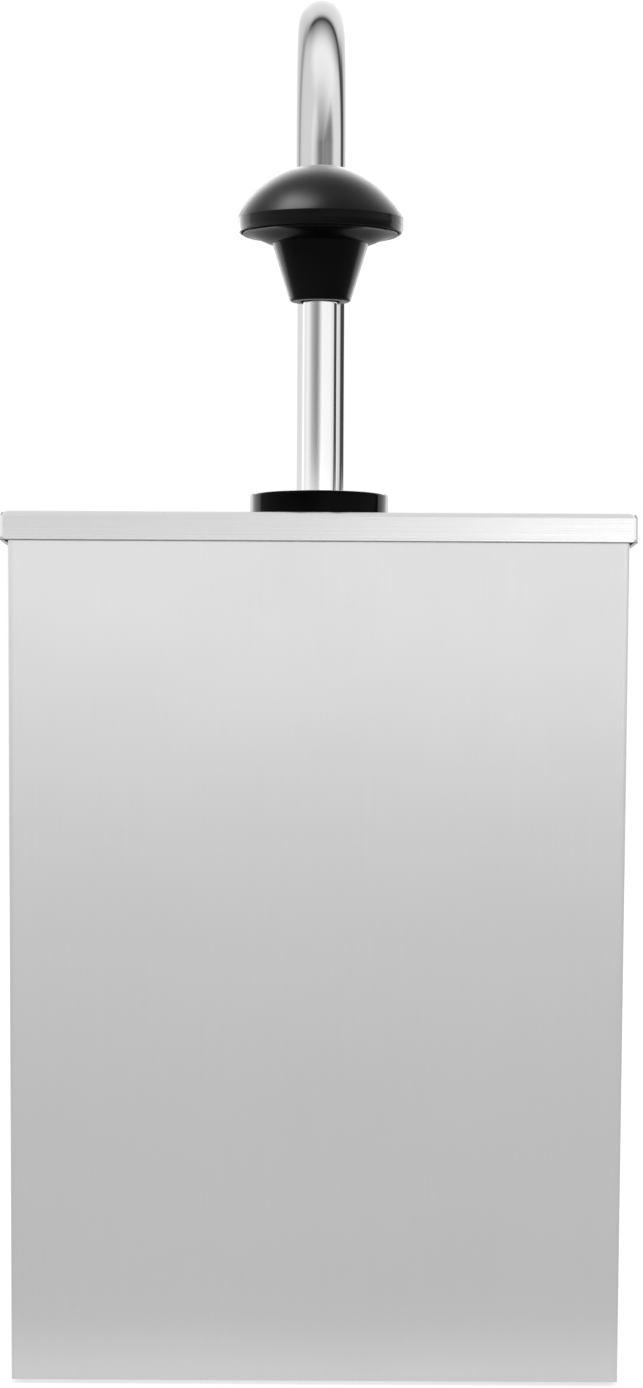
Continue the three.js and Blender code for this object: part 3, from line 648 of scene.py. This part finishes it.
def buildCollar():
    low, high, radius = roundExtent("pump_collar")
    sizes = collarSizes
    ceiling = high.z - sizes["ceiling"]
    points = [
        (sizes["threadRadius"], low.z, sizes["footRound"]),
        (radius, low.z, sizes["footRound"]),
        (radius, high.z, sizes["round"]),
        (sizes["dishRadius"] + sizes["dishDepth"], high.z),
        (sizes["dishRadius"], high.z - sizes["dishDepth"]),
        (sizes["rodHole"], high.z - sizes["dishDepth"], sizes["holeRound"]),
        (sizes["rodHole"], ceiling),
        (sizes["threadRadius"], ceiling),
    ]
    bm = turn(points, pumpAxis, sizes["around"], closed=True)
    piece = finishPiece(bm, "pumpCollar", "collarPlastic", "pump_unit", ["pump_collar"])
    litByRimLamps.objects.link(piece)


buildCollar()
print("collar built")


# Plunger rod, with a thinner spigot at each end
rodSizes = {"radius": 5.4, "spigot": 4, "chamfer": 0.3}


def buildRod():
    low, high = corners("plunger_rod")
    shoulderLow = corners("piston")[1].z + assemblyGap
    shoulderHigh = corners("knob_insert")[0].z - assemblyGap
    radius = rodSizes["radius"]
    spigot = rodSizes["spigot"]
    chamfer = rodSizes["chamfer"]
    points = [(0, low.z), (spigot, low.z, chamfer), (spigot, shoulderLow), (radius, shoulderLow, chamfer),
              (radius, shoulderHigh, chamfer), (spigot, shoulderHigh), (spigot, high.z, chamfer), (0, high.z)]
    bm = turn(points, pumpAxis)
    finishPiece(bm, "plungerRod", "rodSteel", "plunger", ["plunger_rod"])


buildRod()
print("rod built")


# Knob: a flare on a steep cone, closed by a domed cap with a seam just inside its rim
knobSizes = {"rimThickness": 1.2, "seamGap": 0.4, "seamRound": 0.25, "rimInset": (0.6, 1.6),
             "rimRounds": (0.3, 0.9), "rimLip": 4.5, "shoulder": 6.25, "shoulderTilt": 16, "crown": 15.75,
             "domeSteps": 40, "waistRadius": 15.1, "waistHeight": 18.2, "flareDrop": 0.5,
             "flareSweep": (3, 0.6), "flareEase": 3.5, "flareSteps": 14, "neckRadius": 9.5, "neckRound": 0.8,
             "socketRadius": 6.4, "socketRound": 0.3, "pocketRadius": 8.3, "pocketBottom": 5.7,
             "pocketTop": 20.3, "around": 128}


def curvePoints(start, startHandle, endHandle, end, count):
    flat = [Vector((radius, height, 0)) for radius, height in (start, startHandle, endHandle, end)]
    return [(point.x, point.y) for point in interpolate_bezier(*flat, count)]


def buildKnob():
    bodyLow, bodyHigh = corners("knob_body")
    capLow, capHigh, radius = roundExtent("knob_cap")
    sizes = knobSizes
    rim = capLow.z
    seam = radius - sizes["rimThickness"]
    widest = rim + sizes["rimLip"]
    ceiling = widest + assemblyGap
    inset, rise = sizes["rimInset"]
    lowerRound, upperRound = sizes["rimRounds"]
    cap = [(0, ceiling), (seam, ceiling), (seam, rim, sizes["seamRound"]), (radius - inset, rim, lowerRound),
           (radius, rim + rise, upperRound)]
    tilt = math.radians(sizes["shoulderTilt"])
    shoulder = (radius - sizes["shoulder"] * math.sin(tilt), widest + sizes["shoulder"] * math.cos(tilt))
    crown = (sizes["crown"], capHigh.z)
    cap += curvePoints((radius, widest), shoulder, crown, (0, capHigh.z), sizes["domeSteps"])
    capPiece = finishPiece(turn(cap, pumpAxis, sizes["around"]), "knobCap", "knobPlastic",
                           "plunger", ["knob_cap"], sharpAngle=12)
    flareRadius = seam - sizes["seamGap"]
    flareBottom = rim - sizes["flareDrop"]
    waist = (sizes["waistRadius"], bodyLow.z + sizes["waistHeight"])
    sweep, lift = sizes["flareSweep"]
    sweepOut = (waist[0] + sweep, waist[1] + lift)
    easeIn = (flareRadius - sizes["flareEase"], flareBottom)
    pocketBottom = bodyLow.z + sizes["pocketBottom"]
    pocketTop = bodyLow.z + sizes["pocketTop"]
    body = [(0, pocketTop), (sizes["pocketRadius"], pocketTop), (sizes["pocketRadius"], pocketBottom),
            (sizes["socketRadius"], pocketBottom), (sizes["socketRadius"], bodyLow.z, sizes["socketRound"]),
            (sizes["neckRadius"], bodyLow.z, sizes["neckRound"])]
    body += curvePoints(waist, sweepOut, easeIn, (flareRadius, flareBottom), sizes["flareSteps"])
    body += [(flareRadius, bodyHigh.z), (0, bodyHigh.z)]
    bodyPiece = finishPiece(turn(body, pumpAxis, sizes["around"]), "knobBody", "knobConePlastic",
                            "plunger", ["knob_body"], sharpAngle=28)
    for piece in (capPiece, bodyPiece):
        litBySoftbox.objects.link(piece)
        litByRimLamps.objects.link(piece)


buildKnob()
print("knob built")


# Discharge tube: riser, half turn and a short leg down to the open spout
tubeSizes = {"radius": 8, "wall": 1, "bendRadius": 48, "spoutDrop": 36, "lift": 0.5, "bendSteps": 72,
             "segments": 64}


def pushOn(bm, edges, height):
    made = bmesh.ops.extrude_edge_only(bm, edges=edges)["geom"]
    verts = [part for part in made if isinstance(part, bmesh.types.BMVert)]
    move(bm, (0, 0, height), verts)
    return [edge for edge in edgesIn(made) if all(vert in verts for vert in edge.verts)]


def buildTube():
    low, high = corners("discharge_tube")
    sizes = tubeSizes
    bend = high.z + sizes["lift"] - sizes["radius"] - sizes["bendRadius"]
    bm = bmesh.new()
    circleAt(bm, sizes["radius"], sizes["segments"], (riserAxis.x, riserAxis.y, low.z))
    edges = pushOn(bm, bm.edges[:], bend - low.z)
    turned = bmesh.ops.spin(bm, geom=edges, cent=(riserAxis.x, riserAxis.y + sizes["bendRadius"], bend),
                            axis=(1, 0, 0), angle=-math.pi, steps=sizes["bendSteps"])["geom_last"]
    pushOn(bm, edgesIn(turned), -sizes["spoutDrop"] - sizes["lift"])
    thicken(bm, sizes["wall"])
    finishPiece(bm, "dischargeTube", "polishedSteel", "pump_unit", ["discharge_tube"])


buildTube()
print("tube built")


# Grommet round the riser
grommetSizes = {"wall": 1.9, "lip": 2.3, "flange": 2.6, "edge": 0.3, "round": 0.7}


def buildGrommet():
    low, high, lip = roundExtent("riser_grommet")
    sizes = grommetSizes
    waist = lip - sizes["lip"]
    inner = waist - sizes["wall"]
    slotLow = low.z + sizes["flange"]
    slotHigh = high.z - sizes["flange"]
    edge = sizes["edge"]
    points = [(inner, low.z, edge), (lip, low.z, sizes["round"]), (lip, slotLow, edge), (waist, slotLow),
              (waist, slotHigh), (lip, slotHigh, edge), (lip, high.z, sizes["round"]), (inner, high.z, edge)]
    bm = turn(points, riserAxis, closed=True)
    finishPiece(bm, "riserGrommet", "rubber", "pump_unit", ["riser_grommet"])


buildGrommet()
print("grommet built")


# Tub: lift-out pan whose rim hangs on the housing's deck
tubSizes = {"draft": 7, "cornerRadius": 25, "cornerSegments": 12, "rimCorner": 14, "rimOverhang": 8,
            "sheet": 1.5, "floorRadius": 9, "floorSegments": 8, "rimRound": 1.8}


def buildTub():
    low, high, half = boxExtent("food_tub")
    sizes = tubSizes
    corner = sizes["cornerRadius"]
    steps = sizes["cornerSegments"]
    overhang = sizes["rimOverhang"]
    underRim = high.z - sizes["sheet"]
    bm = bmesh.new()
    floor = cornerLoop(bm, half, corner, low.z, overhang + sizes["draft"], steps)
    top = cornerLoop(bm, half, corner, underRim, overhang, steps)
    rim = cornerLoop(bm, half, sizes["rimCorner"], underRim, segments=steps)
    bridge(bm, floor, top)
    bridge(bm, top, rim)
    fillLoop(bm, floor)
    rounded(bm, floor, sizes["floorRadius"], sizes["floorSegments"])
    rounded(bm, top, sizes["rimRound"])
    thicken(bm, sizes["sheet"])
    toMiddle(bm)
    finishPiece(bm, "foodTub", "tubSteel", "tub", ["food_tub"])


buildTub()
print("tub built")


# Base plate and feet
baseSizes = {"sheet": 1.2, "cornerRadius": 0.8, "draft": 0.1}
footSizes = {"round": 0.8, "bead": 0.4, "around": 64}


def buildBase():
    low, high, half = boxExtent("base_plate")
    sizes = baseSizes
    bm = bmesh.new()
    floor = cornerLoop(bm, half, sizes["cornerRadius"], low.z, sizes["draft"])
    top = cornerLoop(bm, half, sizes["cornerRadius"], high.z)
    bridge(bm, floor, top)
    fillLoop(bm, floor)
    thicken(bm, sizes["sheet"])
    toMiddle(bm)
    finishPiece(bm, "basePlate", "tubSteel", "housing", ["base_plate"])


def buildFoot(node):
    low, high, radius = roundExtent(node)
    sizes = footSizes
    points = [(0, low.z), (radius, low.z, sizes["round"]), (radius, high.z, sizes["bead"]), (0, high.z)]
    bm = turn(points, middleOf(node), sizes["around"])
    finishPiece(bm, node.replace("_", "") + "Pad", "rubber", "housing", [node])


buildBase()
for footNode in ("foot_front_left", "foot_front_right", "foot_rear_left", "foot_rear_right"):
    buildFoot(footNode)
print("base and feet built")


# Pump cylinder: the barrel below the lid, with its flange and neck
cylinderSizes = {"bore": 14, "wall": 2, "neckWall": 1.5, "flange": 3, "round": 0.4, "fillet": 1.5,
                 "beadDrop": 16, "beadHeight": 3, "beadRise": 0.8, "beadRound": 0.35, "around": 128}


def buildCylinder():
    low, high, flange = roundExtent("pump_cylinder")
    sizes = cylinderSizes
    flangeTop = corners("lid_gasket")[0].z - assemblyGap
    flangeBottom = flangeTop - sizes["flange"]
    barrel = sizes["bore"] + sizes["wall"]
    neck = sizes["bore"] + sizes["neckWall"]
    beadLow = flangeBottom - sizes["beadDrop"]
    beadHigh = beadLow + sizes["beadHeight"]
    bead = barrel + sizes["beadRise"]
    edge, beadEdge = sizes["round"], sizes["beadRound"]
    points = [
        (sizes["bore"], low.z, edge), (barrel, low.z, edge),
        (barrel, beadLow, beadEdge), (bead, beadLow, beadEdge),
        (bead, beadHigh, beadEdge), (barrel, beadHigh, beadEdge),
        (barrel, flangeBottom, sizes["fillet"]), (flange, flangeBottom, edge), (flange, flangeTop, edge),
        (neck, flangeTop), (neck, high.z, edge), (sizes["bore"], high.z, edge),
    ]
    bm = turn(points, pumpAxis, sizes["around"], closed=True)
    finishPiece(bm, "pumpCylinder", "machinedSteel", "pump_unit", ["pump_cylinder"])


buildCylinder()
print("cylinder built")


# Grip ribs: a wave all round, pressed into the surface between two heights
def flute(bm, axis, radius, depth, count, low, high):
    for vert in bm.verts:
        beside = Vector((vert.co.x - axis.x, vert.co.y - axis.y))
        inBand = low - sameHeight < vert.co.z < high + sameHeight
        if inBand and beside.length > radius - skinDepth:
            angle = math.atan2(beside.y, beside.x)
            dip = depth * (0.5 - 0.5 * math.cos(count * angle))
            vert.co.x -= beside.x / beside.length * dip
            vert.co.y -= beside.y / beside.length * dip


# Tips an upright shape over, so that its axis runs along Y at this height
def layAlongDepth(bm, axis, height):
    swing(bm, math.radians(-90), "X")
    move(bm, (axis.x, axis.y, height))


def joinInto(target, source):
    mesh = bpy.data.meshes.new("joined")
    source.to_mesh(mesh)
    source.free()
    target.from_mesh(mesh)
    bpy.data.meshes.remove(mesh)


# Valve body: a ribbed cup screwed onto the cylinder, with the intake below and a port at the side
valveSizes = {"socketRadius": 16.3, "socketDepth": 16, "socketRound": 0.4, "bore": 14, "inletRadius": 4.5,
              "inletRound": 0.6, "inletLength": 2, "seatRise": 3, "guideRadius": 7.2, "guideFlare": 2.4,
              "ledge": 12, "round": 1.6, "rimRound": 0.7, "ribCount": 28, "ribSegments": 8, "ribDepth": 0.7,
              "ribMargin": 2, "ribFade": 1, "portHeight": 24.57, "portRadius": 4, "portRound": 0.3,
              "bossRadius": 7.5, "bossInside": 16.5, "bossReach": 5, "bossRound": 0.5, "bossSegments": 64}


def buildValveBody():
    low, high, radius = roundExtent("valve_body")
    sizes = valveSizes
    shoulder = high.z - sizes["socketDepth"]
    seat = low.z + sizes["inletLength"]
    ledge = corners("inlet_cage")[0].z - assemblyGap
    ribLow = shoulder + sizes["ribMargin"]
    ribHigh = high.z - sizes["ribMargin"]
    points = [
        (sizes["inletRadius"], low.z, sizes["inletRound"]), (radius, low.z, sizes["round"]),
        (radius, ribLow - sizes["ribFade"]), (radius, ribLow), (radius, ribHigh),
        (radius, ribHigh + sizes["ribFade"]), (radius, high.z, sizes["rimRound"]),
        (sizes["socketRadius"], high.z, sizes["socketRound"]), (sizes["socketRadius"], shoulder),
        (sizes["bore"], shoulder), (sizes["bore"], ledge), (sizes["ledge"], ledge),
        (sizes["guideRadius"], ledge - sizes["guideFlare"]),
        (sizes["guideRadius"], seat + sizes["seatRise"]), (sizes["inletRadius"], seat),
    ]
    bm = turn(points, pumpAxis, sizes["ribCount"] * sizes["ribSegments"], closed=True)
    flute(bm, pumpAxis, radius, sizes["ribDepth"], sizes["ribCount"], ribLow, ribHigh)
    end = radius + sizes["bossReach"]
    port, outer, start = sizes["portRadius"], sizes["bossRadius"], sizes["bossInside"]
    outline = [(port, start), (outer, start), (outer, end, sizes["bossRound"]),
               (port, end, sizes["portRound"])]
    boss = turn(outline, origin, sizes["bossSegments"], closed=True)
    layAlongDepth(boss, pumpAxis, low.z + sizes["portHeight"])
    joinInto(bm, boss)
    finishPiece(bm, "valveBody", "whitePlastic", "pump_unit", ["valve_body"])


buildValveBody()
print("valve body built")


# Outlet elbow: an upright post with a nub towards the valve body's port
elbowSizes = {"floor": 7.5, "socketRadius": 8.3, "socketDepth": 14, "socketRound": 0.4, "topRound": 0.5,
              "guideRadius": 6.2, "outletRadius": 3.6, "seatHeight": 12.5, "seatRise": 2.5,
              "bottomRound": 2.4, "portRadius": 4, "portRound": 0.3, "nubRadius": 7.5, "nubRound": 0.5,
              "nubInside": -9, "nubSegments": 64}


def buildElbow():
    low, high, radius = roundExtent("outlet_elbow")
    sizes = elbowSizes
    seat = low.z + sizes["seatHeight"]
    socket = high.z - sizes["socketDepth"]
    points = [
        (0, low.z), (radius, low.z, sizes["bottomRound"]), (radius, high.z, sizes["topRound"]),
        (sizes["socketRadius"], high.z, sizes["socketRound"]), (sizes["socketRadius"], socket),
        (sizes["guideRadius"], socket),
        (sizes["guideRadius"], seat + sizes["seatRise"]), (sizes["outletRadius"], seat),
        (sizes["outletRadius"], low.z + sizes["floor"]), (0, low.z + sizes["floor"]),
    ]
    bm = turn(points, riserAxis)
    start = low.y - riserAxis.y
    port, outer, end = sizes["portRadius"], sizes["nubRadius"], sizes["nubInside"]
    outline = [(port, start, sizes["portRound"]), (outer, start, sizes["nubRound"]), (outer, end),
               (port, end)]
    nub = turn(outline, origin, sizes["nubSegments"], closed=True)
    layAlongDepth(nub, riserAxis, low.z + sizes["floor"])
    joinInto(bm, nub)
    finishPiece(bm, "outletElbow", "whitePlastic", "pump_unit", ["outlet_elbow"])


buildElbow()
print("elbow built")


# Riser nut: fluted ring that presses the riser's seal
nutSizes = {"threadRadius": 12.3, "riserRadius": 8.3, "boreRound": 0.4, "roof": 2, "flutes": 20,
            "fluteSegments": 10, "fluteDepth": 0.9, "fluteFade": 0.8, "margin": 2, "round": 0.9}


def buildRiserNut():
    low, high, radius = roundExtent("riser_nut")
    sizes = nutSizes
    ceiling = high.z - sizes["roof"]
    gripLow = low.z + sizes["margin"]
    gripHigh = high.z - sizes["margin"]
    points = [
        (sizes["threadRadius"], low.z, sizes["boreRound"]), (radius, low.z, sizes["round"]),
        (radius, gripLow - sizes["fluteFade"]), (radius, gripLow), (radius, gripHigh),
        (radius, gripHigh + sizes["fluteFade"]), (radius, high.z, sizes["round"]),
        (sizes["riserRadius"], high.z, sizes["boreRound"]), (sizes["riserRadius"], ceiling),
        (sizes["threadRadius"], ceiling),
    ]
    bm = turn(points, riserAxis, sizes["flutes"] * sizes["fluteSegments"], closed=True)
    flute(bm, riserAxis, radius, sizes["fluteDepth"], sizes["flutes"], gripLow, gripHigh)
    finishPiece(bm, "riserNut", "machinedSteel", "pump_unit", ["riser_nut"])


buildRiserNut()
print("riser nut built")


# Rings that seal: two gaskets, the riser's seal and the rod's wiper
ringSizes = {
    "lid_gasket": {"inner": 15.8, "round": 0.4, "finish": "silicone"},
    "cylinder_gasket": {"inner": 14, "round": 0.4, "finish": "silicone"},
    "riser_seal": {"inner": 8.15, "round": 0.5, "finish": "rubber"},
    "rod_wiper": {"inner": 5.55, "round": 0.5, "finish": "rubber"},
}


def buildRings():
    for node, sizes in ringSizes.items():
        low, high, outer = roundExtent(node)
        outline = ringOutline(sizes["inner"], outer, low.z, high.z, sizes["round"])
        bm = turn(outline, middleOf(node), closed=True)
        finishPiece(bm, camelCase(node), sizes["finish"], "pump_unit", [node])


# The small pieces of the valves: the port's gasket, two balls and the pin over the outlet's ball
portGasketSizes = {"round": 0.4, "around": 64}
ballSizes = {"around": 48, "rings": 24}
pinSizes = {"round": 0.25, "around": 32}


def buildPortGasket():
    low, high, radius = roundExtent("port_gasket")
    sizes = portGasketSizes
    outline = ringOutline(valveSizes["portRadius"], radius, 0, high.y - low.y, sizes["round"])
    bm = turn(outline, origin, sizes["around"], closed=True)
    layAlongDepth(bm, Vector((pumpAxis.x, low.y, 0)), (low.z + high.z) / 2)
    finishPiece(bm, "portGasket", "silicone", "pump_unit", ["port_gasket"])


def buildBall(node, body):
    radius = roundExtent(node)[2]
    sizes = ballSizes
    bm = bmesh.new()
    bmesh.ops.create_uvsphere(bm, u_segments=sizes["around"], v_segments=sizes["rings"], radius=radius)
    move(bm, middleOf(node))
    finishPiece(bm, camelCase(node), "polishedSteel", body, [node])


def buildStopPin():
    low, high, half = roundExtent("outlet_stop_pin")
    radius = (high.z - low.z) / 2
    sizes = pinSizes
    points = [(0, -half), (radius, -half, sizes["round"]), (radius, half, sizes["round"]), (0, half)]
    bm = turn(points, origin, sizes["around"])
    swing(bm, math.radians(90), "Y")
    move(bm, middleOf("outlet_stop_pin"))
    finishPiece(bm, "stopPin", "polishedSteel", "pump_unit", ["outlet_stop_pin"])


buildRings()
buildPortGasket()
buildBall("inlet_ball", "inlet_check_ball")
buildBall("outlet_ball", "outlet_check_ball")
buildStopPin()
print("rings, balls and pin built")


# Return spring: one wire wound between the inlet cage and the piston's nut
springSizes = {"wireRadius": 0.9, "turns": 10, "turnSteps": 36, "wireSides": 14}


def buildSpring():
    sizes = springSizes
    wire = sizes["wireRadius"]
    bottom = corners("inlet_cage")[1].z + assemblyGap
    top = corners("piston_nut")[0].z - assemblyGap
    radius = roundExtent("return_spring")[2] - wire
    climb = top - bottom - 2 * wire
    slope = math.atan(climb / (sizes["turns"] * math.tau * radius))
    steps = sizes["turns"] * sizes["turnSteps"]
    bm = bmesh.new()
    circle = circleAt(bm, wire, sizes["wireSides"], origin)
    start = bm.edges[:]
    swing(bm, slope - math.pi / 2, "X", circle)
    move(bm, (radius, 0, bottom + wire), circle)
    wound = bmesh.ops.spin(bm, geom=start, cent=origin, axis=(0, 0, 1), dvec=(0, 0, climb / steps),
                           angle=sizes["turns"] * math.tau, steps=steps)["geom_last"]
    fillLoop(bm, start)
    fillLoop(bm, edgesIn(wound))
    closeUp(bm)
    move(bm, (pumpAxis.x, pumpAxis.y, 0))
    piece = finishPiece(bm, "returnSpring", "polishedSteel", "plunger", ["return_spring"])
    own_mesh(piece)    # the spring gets a mesh of its own


buildSpring()
print("spring built")


# Bush: guides the rod in the cylinder's neck, with a pocket for the wiper
bushSizes = {"guideRadius": 5.7, "bodyRadius": 13.7, "pocketRadius": 8.2, "edge": 0.3, "leadIn": 0.7}


def buildBush():
    low, high, flange = roundExtent("rod_bush")
    sizes = bushSizes
    flangeBottom = corners("pump_cylinder")[1].z + assemblyGap
    pocketBottom = corners("rod_wiper")[0].z - assemblyGap
    points = [
        (sizes["guideRadius"], low.z, sizes["leadIn"]), (sizes["bodyRadius"], low.z, sizes["leadIn"]),
        (sizes["bodyRadius"], flangeBottom), (flange, flangeBottom, sizes["edge"]),
        (flange, high.z, sizes["edge"]), (sizes["pocketRadius"], high.z, sizes["edge"]),
        (sizes["pocketRadius"], pocketBottom), (sizes["guideRadius"], pocketBottom, sizes["edge"]),
    ]
    bm = turn(points, pumpAxis, closed=True)
    finishPiece(bm, "rodBush", "whitePlastic", "pump_unit", ["rod_bush"])


# Piston: two grooves with a seal in each
pistonSizes = {"bore": 4.3, "grooveRadius": 11.55, "edge": 0.6, "grooveEdge": 0.2, "sealDepth": 2,
               "sealRound": 0.7}


def buildPiston():
    low, high, radius = roundExtent("piston")
    sizes = pistonSizes
    points = [(sizes["bore"], low.z, sizes["edge"]), (radius, low.z, sizes["edge"])]
    for level in ("lower", "upper"):
        node = f"piston_seal_{level}"
        sealLow, sealHigh, outer = roundExtent(node)
        grooveLow = sealLow.z - assemblyGap
        grooveHigh = sealHigh.z + assemblyGap
        points += [(radius, grooveLow, sizes["grooveEdge"]), (sizes["grooveRadius"], grooveLow),
                   (sizes["grooveRadius"], grooveHigh), (radius, grooveHigh, sizes["grooveEdge"])]
        outline = ringOutline(outer - sizes["sealDepth"], outer, sealLow.z, sealHigh.z, sizes["sealRound"])
        seal = turn(outline, pumpAxis, closed=True)
        finishPiece(seal, f"{level}PistonSeal", "rubber", "plunger", [node])
    points += [(radius, high.z, sizes["edge"]), (sizes["bore"], high.z, sizes["edge"])]
    bm = turn(points, pumpAxis, closed=True)
    finishPiece(bm, "pistonBody", "whitePlastic", "plunger", ["piston"])


# Piston nut: a hexagon with turned-off corners
pistonNutSizes = {"bore": 4.3, "chamfer": (1.1, 0.65), "boreEdge": 0.4, "sides": 6}


def cutFlats(bm, axis, radius, sides):
    half = math.pi / sides
    for vert in bm.verts:
        beside = Vector((vert.co.x - axis.x, vert.co.y - axis.y))
        angle = math.atan2(beside.y, beside.x) % (2 * half) - half
        limit = radius * math.cos(half) / math.cos(angle)
        if beside.length > limit:
            vert.co.x = axis.x + beside.x * limit / beside.length
            vert.co.y = axis.y + beside.y * limit / beside.length


def buildPistonNut():
    low, high, radius = roundExtent("piston_nut")
    sizes = pistonNutSizes
    inset, drop = sizes["chamfer"]
    points = [(sizes["bore"], low.z, sizes["boreEdge"]), (radius - inset, low.z), (radius, low.z + drop),
              (radius, high.z - drop), (radius - inset, high.z), (sizes["bore"], high.z, sizes["boreEdge"])]
    bm = turn(points, pumpAxis, closed=True)
    cutFlats(bm, pumpAxis, radius, sizes["sides"])
    finishPiece(bm, "pistonNut", "machinedSteel", "plunger", ["piston_nut"])


# Knob insert: a steel bush with two bands of grip ribs and a groove between them
insertSizes = {"bore": 4.3, "edge": 0.5, "groove": 0.7, "grooveHeight": 2, "ribs": 30, "ribSegments": 8,
               "ribDepth": 0.35, "margin": 1, "slope": 0.3}


def buildKnobInsert():
    low, high, radius = roundExtent("knob_insert")
    sizes = insertSizes
    waist = radius - sizes["groove"]
    middle = (low.z + high.z) / 2
    points = [(sizes["bore"], low.z, sizes["edge"]), (waist, low.z, sizes["edge"])]
    for bottom, top in ((low.z + sizes["margin"], middle - sizes["grooveHeight"] / 2),
                        (middle + sizes["grooveHeight"] / 2, high.z - sizes["margin"])):
        points += [(waist, bottom), (radius, bottom + sizes["slope"]), (radius, top - sizes["slope"]),
                   (waist, top)]
    points += [(waist, high.z, sizes["edge"]), (sizes["bore"], high.z, sizes["edge"])]
    bm = turn(points, pumpAxis, sizes["ribs"] * sizes["ribSegments"], closed=True)
    flute(bm, pumpAxis, radius, sizes["ribDepth"], sizes["ribs"], low.z, high.z)
    finishPiece(bm, "knobInsert", "machinedSteel", "plunger", ["knob_insert"],
                sharpAngle=50)


# Inlet cage: a drilled plate that keeps the inlet ball in and carries the spring
cageSizes = {"holeCircle": 8.25, "holeRadius": 2, "holes": 6, "edge": 0.35, "edgeSegments": 3,
             "creaseAngle": 1, "rimSegments": 96, "holeSegments": 32}    # the crease's angle is in radians


def buildCage():
    low, high, radius = roundExtent("inlet_cage")
    sizes = cageSizes
    circles = [(0, 0, radius, sizes["rimSegments"])]
    for index in range(sizes["holes"]):
        angle = index / sizes["holes"] * math.tau
        circles.append((sizes["holeCircle"] * math.cos(angle), sizes["holeCircle"] * math.sin(angle),
                        sizes["holeRadius"], sizes["holeSegments"]))
    bm = bmesh.new()
    for x, y, size, segments in circles:
        circleAt(bm, size, segments, (pumpAxis.x + x, pumpAxis.y + y, high.z))
    bmesh.ops.triangle_fill(bm, use_beauty=True, use_dissolve=False, edges=bm.edges[:])
    thicken(bm, high.z - low.z)
    creases = [edge for edge in bm.edges if edge.calc_face_angle(0) > sizes["creaseAngle"]]
    rounded(bm, creases, sizes["edge"], sizes["edgeSegments"])
    finishPiece(bm, "inletCage", "machinedSteel", "pump_unit", ["inlet_cage"])


buildBush()
buildPiston()
buildPistonNut()
buildKnobInsert()
buildCage()
print("plunger's inner pieces built")
